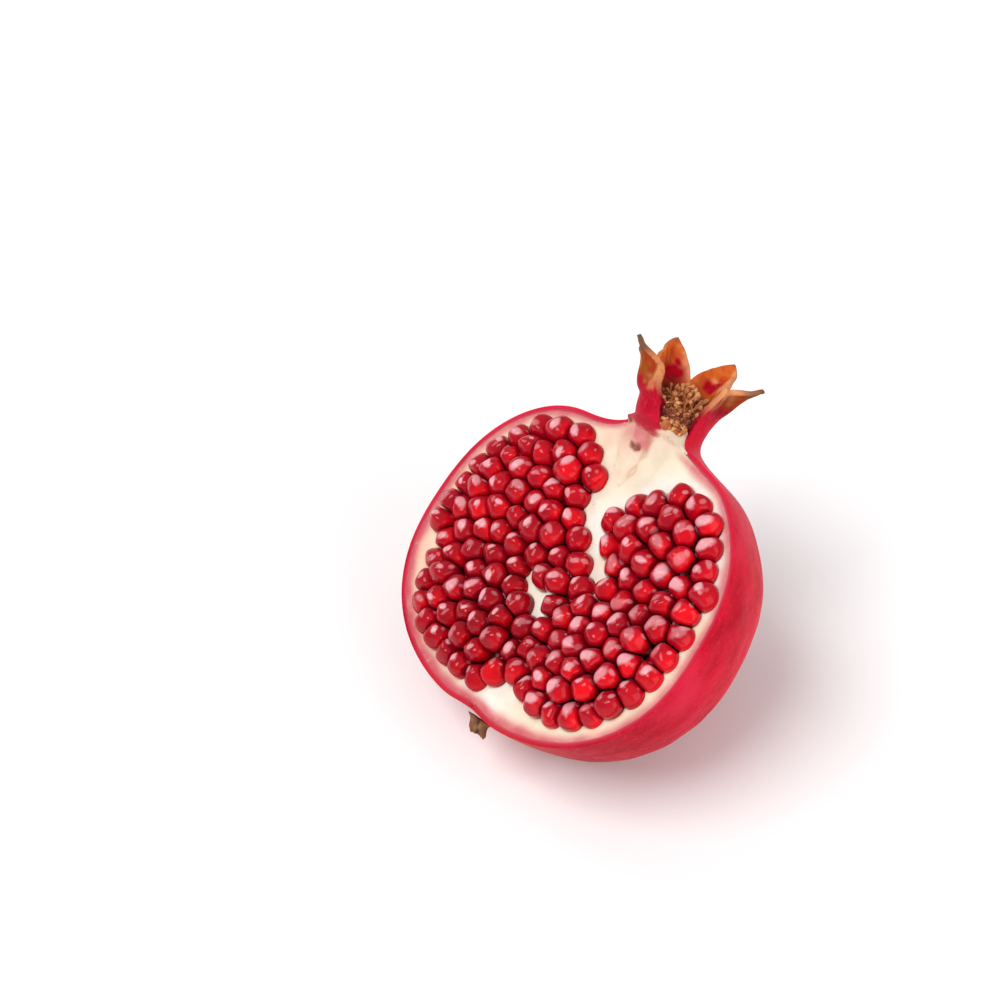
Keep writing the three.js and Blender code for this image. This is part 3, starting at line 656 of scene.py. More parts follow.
def crown_sheets(turns, waist_wall, tip_wall):
    """Places, nearness to a margin, and the outer and inner points of the crown.

    Rows follow the crown's outline to the reach of each column. The lobes fold, bulge and
    have dry wrinkles that run up them, and their margins roll a little outward."""
    lobe, off = lobe_rows(turns)
    place = np.linspace(0, 1, CROWN_ROWS + 1)[1:, None] * crown_reach(turns)[None]
    line = crown_line(lobe, place)
    ahead = unit(crown_line(lobe, (place + 0.02).clip(0, 2))
                 - crown_line(lobe, (place - 0.02).clip(0, 2)))
    fold = np.cos(math.pi * off)
    swell = smooth(place, 0.1, 0.7) - smooth(place, 1.2, 2)
    radius = line[..., 0] + 1.2 * fold * smooth(place, 0, 1) + lobe[:, 4] * swell * (1 + fold) / 2
    radius = radius + 1.6 * bell(turns, *WIDE_NOTCH) * smooth(place, 0.3, 1)
    strain = smooth(place, 0.6, 1.5)
    radius = radius + 0.16 * strain * np.sin(off * 17 + 3 * np.sin(place * 2.5 + turns * 5))
    radius = radius + 0.12 * strain * np.sin(place * 9 + turns * 11)
    left = 2 - place.clip(1, 2)
    half = left / (1 - lobe[:, 3] + lobe[:, 3] * left ** 3)
    margin = (np.abs(off) / half.clip(0.05)).clip(0, 1)
    radius = radius + 0.35 * strain * margin ** 4 * smooth(place, 1, 1.4)
    wall = waist_wall + (tip_wall - waist_wall) * (place - 1).clip(0, 1)
    outer = skin_point(radius, line[..., 1], turns[None])
    inner = skin_point(radius - wall * ahead[..., 1], line[..., 1] + wall * ahead[..., 0],
                       turns[None])
    return place, margin, (outer, inner)


def sheet_edge(rows, columns):
    """Rows and columns around a sheet: up its right edge, over the lobes, down its left."""
    row = np.arange(rows - 1)
    return (np.concatenate([row, np.full(columns, rows - 1), row[::-1]]),
            np.concatenate([0 * row, np.arange(columns), 0 * row + columns - 1]))


def skin_sheet(looks):
    """Points, faces and paints of the rind.

    Rows run from the stem over the body and neck to the tips of the lobes, and columns from
    the right edge of the cut to the left edge. The outer and the inner layer share the
    grid, and a strip along the edge joins them."""
    turns = skin_columns()
    thickness, waist_wall = looks.thickness / MM, looks.crown_wall / MM
    point, tangent = rows_of(outline(), RIND_HEIGHTS, RIND_ROWS)
    thicker = (looks.crown_wall - looks.thickness) / MM * smooth(point[:, 1], 42, WAIST[1])
    inner_profile = under(point, tangent, thickness + thicker)
    inner_profile[0, 0] = 0
    place, margin, crowns = crown_sheets(turns, waist_wall, looks.tip_wall / MM)
    layers, ring_turn = [], []
    for profile, crown in zip((point, inner_profile), crowns):
        turn = ring_turns(profile, turns)
        body = skin_point(profile[:, :1], profile[:, 1:2], turn)
        layers.append(np.concatenate([body, crown]))
        ring_turn.append(np.concatenate([turn, np.broadcast_to(turns, place.shape)]))
    places = np.concatenate([np.zeros((len(point), len(turns))), place])
    # The soft unevenness of a grown skin, and the flat spot that it rests on.
    part = [to_part(sheet) for sheet in layers]
    outer_turn = ring_turn[0]
    inside = np.minimum(outer_turn[:, :1] - outer_turn, outer_turn - outer_turn[:, -1:])
    calm = (1 - smooth(layers[0][..., 1], 38, 44)) * (0.3 + 0.7 * smooth(inside, 0, 0.2))
    grown = 0.16 * ripple(part[0], 26, 5) + 0.06 * ripple(part[0], 9, 6)
    grown = grown * calm * smooth(part[0][..., 2], 0.5, 8)
    way = part[0] - (CENTRE + layers[0][..., 1:2] * ALONG)
    way = way / np.linalg.norm(way, axis=-1, keepdims=True).clip(1e-6)
    for index, flat in enumerate((0.0, thickness)):
        part[index] = part[index] + way * grown[..., None]
        part[index][..., 2] = np.maximum(part[index][..., 2], flat * (places == 0))
    # The strip along the edge, rounded at the ends of the lobes.
    rows, columns = places.shape
    walk = sheet_edge(rows, columns)
    outer, inner, at = part[0][walk], part[1][walk], layers[0][walk]
    back = outer - part[0][np.minimum(walk[0], rows - 2), walk[1]]
    far = np.linalg.norm(back, axis=1, keepdims=True)
    rounding = np.where(far > 0.02, back / far.clip(1e-6), 0) * (
        smooth(at[:, :1], 6, 9) + 1 - smooth(at[:, 1:2], 38.7, 39.4)).clip(0, 1)
    rounding = rounding * np.linalg.norm(inner - outer, axis=1, keepdims=True) * 0.42
    strip = [mix(outer, inner, q) + rounding * math.sin(math.pi * q) for q in EDGE_CELLS]
    # Rings near the stem are too small to reach the cut, so the strip skips them.
    strip_faces = grid_faces(len(EDGE_CELLS), len(outer))
    skip = np.all([sheet[..., 0].max(1) < CUT_OUT + 0.02 for sheet in layers], axis=0)[walk[0]]
    skip[rows - 1:rows - 1 + columns] = False
    strip_faces = strip_faces[~skip[strip_faces % len(outer)].all(1)]
    grid, size = grid_faces(rows, columns), rows * columns
    faces = [grid, size + grid[:, ::-1], 2 * size + strip_faces[:, ::-1]]
    points = [part[0].reshape(-1, 3), part[1].reshape(-1, 3), *strip]
    paints = skin_paints(looks, layers, ring_turn, places, margin, walk)
    return np.concatenate(points), np.concatenate(faces), paints


def skin_paints(looks, layers, ring_turn, places, margin, walk):
    """Colour, dryness and growth lines of the rind's points.

    The body is crimson with rose patches and painted shade towards the stem. The lobes turn
    from red over orange to grey-brown with their reach, each with its own patches, and carry
    painted light on one half of their inner face and painted shade inside the tube. The strip
    fades from skin to flesh."""
    crimson, rose, deep, brown, light, tip, red, cut, pink, cup = tones(
        looks, "crimson rose deep lobe lobe_light lobe_tip lobe_red cut pink cup")
    _, off = lobe_rows(ring_turn[0][-1])
    lobe = lobe_index(ring_turn[0][-1])
    margins = np.concatenate([np.zeros((len(places) - len(margin), len(off))), margin])
    grey = smooth(places, 1.1, 1.6) * np.array([1, 0, 0, 0.55])[lobe]
    start = np.array([0.2, 0.3, 0.3, 0.42])[lobe]
    # Red patches inside the two middle lobes: their place across and along, and their widths.
    across, reach, width, extent = np.array([
        (0, 0, 0.01, 0.01), (0.14, 1.02, 0.5, 0.38), (-0.05, 1.1, 0.35, 0.2),
        (0, 0, 0.01, 0.01)])[lobe].T
    colours, drynesses, growths = [], [], []
    for layer, (sheet, turn) in enumerate(zip(layers, ring_turn)):
        height = sheet[..., 1]
        patch = ripple(sheet, 30, 21) * 0.5 + ripple(sheet, 12, 22) * 0.25
        body = mix(crimson, rose, smooth(patch, -0.4, 1.0) * 0.8)
        body = mix(body, deep, smooth(-patch, 0.3, 1.3) * 0.35)
        # Painted shade: darker over the half towards the stem, which lies lower.
        body = mix(body, deep, 0.6 * smooth(-height, -4, 32))
        body = mix(body, rose, smooth(height, 30, 42) * 0.35)
        body = mix(body, deep, smooth(height, 40, 45) * np.array([0.5, 0, 0, 0.2])[lobe])
        body = mix(body, mix(crimson, brown, 0.35), smooth(-height, 33, 41) * 0.6)
        spots = ripple(sheet, 4.5, 23 + layer) * 0.5 + ripple(sheet, 2, 24) * 0.3
        rise = places + 0.13 * spots
        if layer == 0:
            dry = smooth(rise, start, start + 0.5)
            warm = mix(brown * 0.5, light, smooth(spots, 0, 1) * 0.22)
            warm = mix(warm, red, smooth(-spots, 0.2, 1.1) * 0.5 * (1 - smooth(rise, 1.0, 1.6)))
            warm = mix(warm, tip, smooth(rise, 1.15, 1.8) * 0.9)
            warm = mix(warm, light, smooth(margins, 0.8, 1) * smooth(np.abs(off), 0.2, 0.6) * 0.6)
            skin = mix(body, deep, smooth(places, 0.0, 0.7) * np.array([0.5, 0.6, 0.6, 1.0])[lobe])
            painted = mix(mix(skin, warm, dry), tip, grey * 0.85)
        else:
            dry = np.ones(places.shape)
            inner_red = bell(off, across, width) * bell(rise, reach, extent)
            # Painted light: the inner face is paler on the half that faces the light.
            pale = smooth(off + 0.2 * spots, 0.02, 0.55) * 0.85 * smooth(places, 0.8, 1.1)
            warm = mix(brown, light, (pale + smooth(spots, 0.2, 1.2) * 0.25).clip(0, 1))
            warm = mix(warm, tip, smooth(rise, 1.78, 2.0) * 0.75)
            painted = mix(warm, red, (inner_red * 1.8).clip(0, 1))
            # Painted shade: dark inside the crown's tube.
            painted = mix(painted, cup, smooth(-rise, -0.95, -0.35) * 0.92)
            painted = mix(painted, cut, (1 - smooth(height, 38, 42)) * 0.6)
            painted = mix(painted, tip, grey * 0.7)
        colours.append(painted)
        drynesses.append(dry * smooth(places, 0, 0.3))
        growths.append(np.stack([turn * 20, height, np.full(turn.shape, layer * 50.0)], -1))
    outer, inner, place = colours[0][walk], colours[1][walk], places[walk]
    bright = np.where(lobe == 0, smooth(-off, 0.2, 0.6), smooth(off, -0.2, 0.4))[walk[1]]
    side, height = layers[0][walk][:, 0], layers[0][walk][:, 1]
    lapped = smooth(height, 39.2, 39.9) * (1 - smooth(side, 6, 8))
    for q in EDGE_CELLS:
        fresh = mix(mix(outer, pink, smooth(q, 0.05, 0.7)), cut, smooth(q, 0.6, 1.05))
        fresh = mix(fresh, outer, lapped)
        # A lighter copy of the tube's painted shade over the strip at the top of the neck.
        fresh = mix(fresh, cup * 1.6, smooth(height, 42.5, 44.5) * 0.85)
        dried = mix(mix(outer, inner, q), light,
                    (0.5 - 0.42 * smooth(place, 1.1, 1.5)) * (0.3 + 0.7 * bright))
        dried = mix(dried, tip, grey[walk] * 0.85)
        colours.append(mix(fresh, dried, smooth(place, 0.1, 0.5)))
        drynesses.append(drynesses[0][walk])
        growths.append(growths[0][walk])
    return {
        "paint": np.concatenate([part.reshape(-1, 3) for part in colours]),
        "dryness": np.concatenate([part.ravel() for part in drynesses]),
        "growth": np.concatenate([part.reshape(-1, 3) for part in growths]),
    }


def skin_material(looks):
    """Leathery skin: lengthwise streaks, pale specks and pores, dry and matt on the lobes."""
    work = Shading("pomegranate_skin", Coat_Roughness=0.3, Coat_Weight=0.02, IOR=1.14,
                   Subsurface_Weight=0.03, Subsurface_Scale=0.002, Specular_IOR_Level=0.25,
                   Subsurface_Radius=(1.0, 0.3, 0.25))
    dryness, growth = work.read("dryness"), work.read("growth", "Vector")
    streak = work.noise(1.0, 4, 0.6, work.stretch(growth, (0.5, 0.09, 1.0)))
    wrinkle = work.noise(1.0, 3, 0.6, work.stretch(growth, (2.2, 0.35, 1.0)))
    cloud, speck = work.noise(60, 3, 0.6), work.noise(1100, 2, 0.5)
    pore = work.noise(620, 3, 0.6)
    fresh = work.span(dryness, 0, 1, 1, 0)
    tint = work.tinge(work.read("paint", "Color"), looks.rose, streak, 0.45, 0.75, 0.5, fresh)
    tint = work.tinge(tint, looks.deep, cloud, 0.5, 0.78, 0.25, fresh)
    tint = work.tinge(tint, looks.rose, speck, 0.55, 0.72, 0.5, fresh)
    tint = work.tinge(tint, looks.lobe_tip, pore, 0.55, 0.8, 0.5, dryness)
    rough = work.math("ADD", work.span(pore, 0.3, 0.7, 0.36, 0.5),
                      work.math("MULTIPLY", dryness, 0.28))
    relief = work.bump(pore, 0.22, 0.0004)
    relief = work.bump(wrinkle, work.span(dryness, 0, 1, 0.03, 0.5), 0.0006, relief)
    return work.wire(Base_Color=tint, Roughness=rough, Normal=relief)


# ---------------------------------------------------------------- arils

def face_outline(corners, steps=34):
    """A closed centripetal Catmull-Rom curve through corners, turning to the left."""
    knots = np.array(corners, float)
    count = len(knots)
    at = np.arange(steps) / steps * count
    whole = at.astype(int)
    t = (at - whole)[:, None]
    p0, p1, p2, p3 = (knots[(whole + i) % count] for i in (-1, 0, 1, 2))
    d0, d1, d2 = (((b - a) ** 2).sum(1)[:, None] ** 0.25 for a, b in ((p0, p1), (p1, p2), (p2, p3)))
    v1 = ((p1 - p0) / d0 - (p2 - p0) / (d0 + d1) + (p2 - p1) / d1) * d1
    v2 = ((p2 - p1) / d1 - (p3 - p1) / (d1 + d2) + (p3 - p2) / d2) * d1
    ring = p1 + v1 * t + (3 * p2 - 3 * p1 - 2 * v1 - v2) * t ** 2 + (2 * p1 - 2 * p2 + v1 + v2) * t ** 3
    after = np.roll(ring, -1, 0)
    area = (ring[:, 0] * after[:, 1] - after[:, 0] * ring[:, 1]).sum()
    return ring[::-1] if area < 0 else ring


def edge_depth(ring, places):
    """How deep places lie inside an outline, and the way that leads inward from its edge."""
    start, edge = ring, np.roll(ring, -1, 0) - ring
    off = places[:, None] - start[None]
    share = ((off * edge).sum(-1) / (edge ** 2).sum(-1)).clip(0, 1)
    away = off - share[..., None] * edge
    far = np.linalg.norm(away, axis=-1)
    nearest = far.argmin(1)
    rows = np.arange(len(places))
    end = start + edge
    y, x = places[:, None, 1], places[:, None, 0]
    rise = np.where(edge[:, 1] == 0, 1, edge[:, 1])
    crosses = ((start[:, 1] > y) != (end[:, 1] > y)) & (
        x < start[:, 0] + edge[:, 0] * (y - start[:, 1]) / rise)
    sign = np.where(crosses.sum(1) % 2 == 1, 1.0, -1.0)
    depth = far[rows, nearest]
    return depth * sign, away[rows, nearest] * (sign / depth.clip(1e-9))[:, None]


def push_apart(places, others, reach, strength):
    """Places pushed away from all others that are nearer than a reach."""
    apart = places[:, None] - others[None]
    far = np.linalg.norm(apart, axis=-1).clip(1e-3)
    push = strength * (reach - far).clip(0) / far
    return places + (apart * push[..., None]).sum(1)


def keep_inside(ring, places):
    """Places moved inward until they keep an aril's room from an outline."""
    depth, inward = edge_depth(ring, places)
    return places + inward * (WALL_ROOM - depth).clip(0)[:, None]


def aril_places(ring, spacing, draw):
    """Places of arils in an outline: shifted rows, scattered, then pushed evenly apart."""
    low, high = ring.min(0), ring.max(0)
    step = 0.93 * spacing
    row_step = step * math.sqrt(0.75)
    places = []
    for row in range(math.ceil((high[1] - low[1]) / row_step)):
        for column in range(math.ceil((high[0] - low[0]) / step)):
            x = low[0] + (column + 0.25 + (row % 2) / 2 + 0.35 * (next(draw) - 0.5)) * step
            y = low[1] + (row + 0.5) * row_step + 0.35 * (next(draw) - 0.5) * step
            places.append((x, y))
    places = np.array(places)
    places = places[edge_depth(ring, places)[0] > 0.7 * WALL_ROOM]
    for _ in range(30):
        places = keep_inside(ring, push_apart(places, places, spacing, 0.4))
    return places


def aril_layout(spacing):
    """For each chamber, rows of (side, along, out) of its arils and of their length's way.

    Places follow the rule of each chamber. A hole wider than an aril gets one more, also
    over the thin walls between chambers, and then all arils push each other apart."""
    rings = [face_outline(corners) for corners in CHAMBERS.values()]
    made = [draws(11 + index) for index in range(len(rings))]
    places = [aril_places(ring, spacing, draw) for ring, draw in zip(rings, made)]
    owner = np.repeat(np.arange(len(rings)), [len(group) for group in places])
    places = np.concatenate(places)
    grid = np.stack(np.meshgrid(np.arange(-44, 45, 0.5), np.arange(-37, 35, 0.5)), -1).reshape(-1, 2)
    ordered = np.sort([edge_depth(ring, grid)[0] for ring in rings], 0)
    free = grid[(ordered[-1] > 1.5) | (ordered[-1] + ordered[-2] > -1.6)]
    bare, width = BARE[:, :2], BARE[:, 2]
    free = free[(np.linalg.norm(free[:, None] - bare[None], axis=-1) > width).all(1)]
    while True:
        far = np.linalg.norm(free[:, None] - places[None], axis=-1).min(1)
        if far.max() < FREE_REACH:
            break
        places = np.concatenate([places, free[far.argmax()][None]])
        owner = np.append(owner, np.argmax([edge_depth(ring, places[-1:])[0][0] for ring in rings]))
    here = (owner, np.arange(len(places)))
    for _ in range(40):
        places = push_apart(places, places, PUSH_REACH, 0.25)
        places = push_apart(places, bare, width, 0.5)
        found = [edge_depth(ring, places) for ring in rings]
        depth, inward = (np.stack(values) for values in zip(*found))
        own = depth[here]
        depth[here] = -99
        # Where another chamber is near, the thin wall between them gives way.
        room = WALL_ROOM - 2.6 * smooth(depth.max(0), -5.5, -2.5)
        places = places + inward[here] * (room - own).clip(0)[:, None]
    layout = {}
    for index, name in enumerate(CHAMBERS):
        group = places[owner == index]
        deep = edge_depth(rings[index], group)[0]
        scatter = np.array([[next(made[index]) for _ in range(3)] for _ in group])
        out = 1 + 1.8 * ((deep - WALL_ROOM) / 5).clip(0, 1) + 0.7 * (2 * scatter[:, 0] - 1)
        lean = 0.24 * (scatter[:, 1:] - 0.5) + 0.32 * group / 40
        layout[name] = (np.concatenate([group, out[:, None]], 1),
                        unit(np.concatenate([lean, np.ones((len(group), 1))], 1)))
    return layout


def under_layer(name, top, spacing):
    """Arils of the layer below: a second scatter, pushed into the gaps of the first."""
    index = list(CHAMBERS).index(name)
    ring = face_outline(CHAMBERS[name])
    places = aril_places(ring, spacing, draws(61 + index))
    for _ in range(25):
        places = keep_inside(ring, push_apart(places, top[:, :2], LAYER_REACH, 0.25))
    made = np.random.default_rng(400 + index)
    middles = np.concatenate([places, -4.4 + 0.8 * made.random((len(places), 1))], 1)
    lean = 0.3 * (made.random((len(places), 2)) - 0.5)
    return middles, unit(np.concatenate([lean, np.ones((len(places), 1))], 1))

def bead_grid(rows, columns):
    """Directions of a ball: rows from its back pole to its front pole, columns around."""
    rise = np.linspace(0, math.pi, rows)[:, None]
    turn = np.arange(columns)[None] / columns * TAU
    return np.stack([np.sin(rise) * np.cos(turn), np.sin(rise) * np.sin(turn),
                     -np.cos(rise) * np.ones_like(turn)], -1)


def beads(middles, ways, crowd, looks, rows, columns, seed, squeeze=1.0):
    """Points, faces and paints of arils.

    Each is an ellipsoid around its way, cut softly by the planes halfway to its neighbours
    and by a few facets of its own: the reach in a direction is the power mean of the
    reaches to the ellipsoid and to the planes. Paint follows directions from its middle
    and lays painted shade, a painted glow, a painted sheen and painted highlights."""
    made = np.random.default_rng(seed)
    ball = bead_grid(rows, columns)
    end, count = ball[..., 2], rows * columns
    points, paints = [], {"paint": [], "bead": [], "spots": []}
    ruby, glow, maroon, mauve = tones(looks, "ruby glow maroon mauve")
    half_width, half_length = looks.half_width / MM, looks.half_length / MM
    for middle, way in zip(middles, ways):
        size = squeeze * (0.94 + 0.14 * made.random())
        slim = 0.86 + 0.14 * made.random()
        spin = math.atan2(middle[1], middle[0]) + 0.7 * made.normal()
        first = unit(np.cross(np.cross(way, [math.cos(spin), math.sin(spin), 0.1]), way))
        second = np.cross(way, first)
        direction = (ball[..., :1] * first + ball[..., 1:2] * second + ball[..., 2:] * way)
        axes = np.array([half_width * size, half_width * size * slim, half_length * size])
        free = ((np.abs(ball) / axes) ** SQUARENESS).sum(-1) ** (-1 / SQUARENESS)
        off = crowd - middle
        far = np.linalg.norm(off, axis=1)
        near = (far > 1e-6) & (far < NEIGHBOUR_REACH)
        plane_way = off[near] / far[near, None]
        plane = (far[near] / 2 - looks.clearance / MM).clip(LEAST_PLANE)
        # Facets: one that catches the light, and three around the blunt end.
        own = np.stack([np.append(np.array([math.cos(turn), math.sin(turn)]) * 0.85, 0.75)
                        for turn in spin + np.array([0.9, 3.0, 5.1]) + 0.5 * made.normal(size=3)])
        own = unit(np.concatenate([own, (SHINE + 0.13 * made.normal(size=3))[None]]))
        local = np.stack([own @ first, own @ second, own @ way], -1)
        facet = np.linalg.norm(local * axes, axis=1) * (0.86 + 0.07 * made.random(len(own)))
        facing = direction @ np.concatenate([plane_way, own]).T
        against = np.where(facing > 0.05, np.concatenate([plane, facet]) / facing.clip(0.05), 1e3)
        reach = (free ** -SHARPNESS + (against ** -SHARPNESS).sum(-1)) ** (-1 / SHARPNESS)
        points.append((middle + direction * reach[..., None]).reshape(-1, 3))

        # Colour: painted shade at the foot and at the neighbours, a painted glow on the side away
        # from the light, and a painted sheen, a clear rim on the side towards it.
        held = ((against[..., :len(plane)] / reach[..., None]) ** -SHARPNESS).sum(-1)
        body = mix(maroon, ruby, smooth(end, -0.15, 0.5))
        middle_glow = unit(GLOW_WAY + 0.2 * made.normal(size=3))
        body = mix(body, glow, smooth(direction @ middle_glow, 0.5, 0.93)
                   * (0.45 + 0.55 * made.random()))
        rim = smooth(end, 0.8, 0.45) * smooth(end, -0.2, 0.2)
        body = mix(body, mauve, rim * (0.25 + 0.6 * made.random())
                   * smooth(direction @ RIM_WAY, 0.45, 0.95))
        body = mix(body, maroon, smooth(held, 0.15, 0.75) * 0.8)
        # A soft shade over the middle of the left chamber.
        body = body * (1 - 0.35 * math.exp(-((middle[0] + 10) ** 2 + (middle[1] + 16) ** 2) / 340))
        # Painted highlights, partly where the seed shows through: distances from two of them,
        # counted in their widths, and a number from 0 to 1 that says how strongly they show.
        spots = []
        for start, width in ((SHINE, 0.36), (SPOT_WAY, 0.2)):
            centre = unit(start + 0.16 * made.normal(size=3))
            angle = made.random() * math.pi
            flat = unit(np.cross(centre, [math.cos(angle), math.sin(angle), 0.3]))
            wide = width * (0.65 + 0.75 * made.random()) * (1 + 0.3 * smooth(middle[0], 4, 22))
            spot = np.hypot((direction @ flat) / wide,
                            (direction @ np.cross(centre, flat)) / (wide * 0.62))
            spots.append(np.where(direction @ centre > 0, spot, 9).ravel())
        spots.append(np.full(count, made.random()))
        paints["spots"].append(np.stack(spots, -1))
        paints["paint"].append(body.reshape(-1, 3))
        paints["bead"].append(np.full(count, made.random()))
    faces = copies(grid_faces(rows, columns, around=True), len(middles), count)
    return (np.concatenate(points), faces,
            {label: np.concatenate(values) for label, values in paints.items()})


def aril_material(looks):
    """Glossy ruby bead: wet coat, light that spreads a little under the skin, faint fibres, and painted
    highlights.
    """
    work = Shading("pomegranate_aril", Coat_Weight=0.35, Coat_Roughness=0.05, Roughness=0.14,
                   Subsurface_Weight=0.1, Subsurface_Scale=0.0008, Specular_IOR_Level=0.25,
                   IOR=1.35, Coat_IOR=1.35, Subsurface_Radius=(1.0, 0.12, 0.1))
    spots = work.add("ShaderNodeSeparateXYZ", {0: work.read("spots", "Vector")}).outputs
    cloud = work.noise(330, 3, 0.6)
    fibre = work.noise(1.0, 3, 0.6, work.stretch(work.place, (1500, 1500, 500)))
    tint = work.tinge(work.read("paint", "Color"), looks.maroon, cloud, 0.5, 0.75, 0.5)
    tint = work.tinge(tint, looks.maroon, work.read("bead"), 0.6, 1, 0.45)
    # Painted highlights: two pale spots on each aril, partly where the seed shows through.
    for index, strength in ((0, work.span(spots[2], 0.1, 0.5, 0.35, 0.95)),
                            (1, work.span(spots[2], 0.9, 0.3, 0.0, 0.55))):
        edge = work.math("MULTIPLY_ADD", cloud, 0.9, spots[index])
        share = work.math("MULTIPLY", work.span(edge, 1.15, 1.58, 1, 0), strength)
        tint = work.blend(share, tint, rgba(looks.pale))
    relief = work.bump(cloud, 0.1, 0.0004)
    relief = work.bump(fibre, 0.05, 0.0001, relief)
    return work.wire(Base_Color=tint, Normal=relief)


class POMEGRANATE_OT_arils(bpy.types.Operator):
    """Arils of the five chambers, with a second layer in the gaps"""
    bl_idname = "pomegranate.arils"
    bl_label = "Arils"

    def execute(self, context):
        looks = context.scene.pomegranate_arils
        spacing = looks.spacing / MM
        layout = aril_layout(spacing)
        crowd = np.concatenate([middles for middles, _ in layout.values()])
        material = aril_material(looks)
        for index, (name, (middles, ways)) in enumerate(layout.items()):
            upper = beads(middles, ways, crowd, looks, 18, 30, 200 + index)
            middles, ways = under_layer(name, middles, spacing)
            lower = beads(middles, ways, middles, looks, 9, 14, 300 + index, 0.92)
            # Painted shade: the lower layer of arils is darkened towards maroon.
            lower[2]["paint"] = mix(lower[2]["paint"], looks.maroon, 0.55)
            points, faces, paints = join(upper, lower)
            make_piece(f"aril_beads_{name}", (to_part(points), faces, paints), f"arils_{name}",
                       material)
        return {"FINISHED"}


# ---------------------------------------------------------------- flesh

def flesh_rim():
    """The flesh's edge on the cut face as angle, distance and height out of the face.

    Rings of the inner outline end where they meet the cut, at the neck where they turn
    away from view, and the top ring closes the edge over the cup's floor."""
    point, tangent = rows_of(outline(), (36.0, 46.5), (160, 60))
    profile = under(point, tangent, FLESH_DEPTH)
    profile = profile[profile[:, 1] < CUP_FLOOR]
    limit = math.radians(16)
    right, left = edge_turns(profile, limit, -math.pi - limit)
    top_turns = np.linspace(right[-1], left[-1] + TAU, 60)[1:-1]
    radius, height = profile.T
    ring = np.concatenate([
        skin_point(radius, height, right),
        skin_point(radius[-1], CUP_FLOOR, top_turns),
        skin_point(radius[::-1], height[::-1], left[::-1])])
    angle = np.arctan2(ring[:, 1], ring[:, 0])
    order = np.argsort(angle)
    return angle[order], np.hypot(ring[:, 0], ring[:, 1])[order], ring[order, 2]


def layer_depth(side, along, depth):
    """How far a layer under the skin stands out of the middle plane, at places of the face.

    The ring through each place is found by repeated steps, because the shoulder hangs
    lower on one side."""
    point, tangent = rows_of(outline(), (36.0, WAIST[1]), (300, 100))
    profile = under(point, tangent, depth)
    profile = profile[profile[:, 1].argmin():]
    radii, heights = profile[np.argsort(profile[:, 1])].T

    def ring_at(height):
        """Radius and sideways shift of the ring at a height, and the cosine of the turn."""
        radius = np.interp(height, heights, radii)
        shift = smooth(height, *NECK_SHIFT)
        return radius, shift, ((side - shift * math.cos(FACE)) / radius.clip(0.1)).clip(-1, 1)

    height = along.copy()
    for _ in range(14):
        radius, _, cosine = ring_at(height)
        height = height + 0.8 * (along - skin_point(radius, height, np.arccos(cosine))[..., 1])
    radius, shift, cosine = ring_at(height)
    sine = np.sqrt(1 - cosine ** 2)
    return radius * sine - shift * math.sin(FACE), -shift * math.sin(FACE) - radius * sine


def disc(steps):
    """A square grid pressed into the unit disc: x sqrt(1 - y*y/2), y sqrt(1 - x*x/2)."""
    line = np.linspace(-1, 1, steps)
    x, y = np.meshgrid(line, line)
    return x * np.sqrt(1 - y * y / 2), y * np.sqrt(1 - x * x / 2)


def flesh_front(steps, arils):
    """The front of the flesh as a height over the cut face.

    Also gives how far each place lies inside the pockets of the arils, and its share of
    the way from the middle of the face to its rim."""
    x, y = disc(steps)
    angle, share = np.arctan2(y, x), np.hypot(x, y)
    rim_angle, rim_far, rim_out = flesh_rim()
    far, edge_out = (np.interp(angle, rim_angle, values, period=TAU) for values in (rim_far, rim_out))
    side, along = share * far * np.cos(angle), share * far * np.sin(angle)
    level = np.minimum(cut_height(side, along), layer_depth(side, along, FLESH_DEPTH)[0])
    level = level + (edge_out - level) * smooth(share, 0.985, 1.0)
    # Soft union of round pockets, one around each aril, sunk further where arils crowd.
    total, crowd = np.zeros(side.shape), np.zeros(side.shape)
    for middle in arils:
        gap = np.hypot(side - middle[0], along - middle[1])
        total += np.exp(POCKET_SHARPNESS * (POCKET_RADIUS - gap).clip(-20, 6))
        crowd += bell(gap, 0, 5)
    for place in BARE:
        crowd -= 1.6 * bell(np.hypot(side - place[0], along - place[1]), 0, 2.8)
    inside = np.log(total.clip(1e-12)) / POCKET_SHARPNESS + 2.2 * smooth(crowd, 1.65, 2.0)
    return side, along, level, inside, share


class POMEGRANATE_OT_flesh(bpy.types.Operator):
    """Pith of the half: its cut face, the pockets of the arils and its hidden back"""
    bl_idname = "pomegranate.flesh"
    bl_label = "Flesh"

    def execute(self, context):
        looks = context.scene.pomegranate_flesh
        layout = aril_layout(context.scene.pomegranate_arils.spacing / MM)
        arils = np.concatenate([middles for middles, _ in layout.values()])
        make_piece("flesh", flesh_solid(looks, arils), "pith", flesh_material(looks), 60)
        return {"FINISHED"}


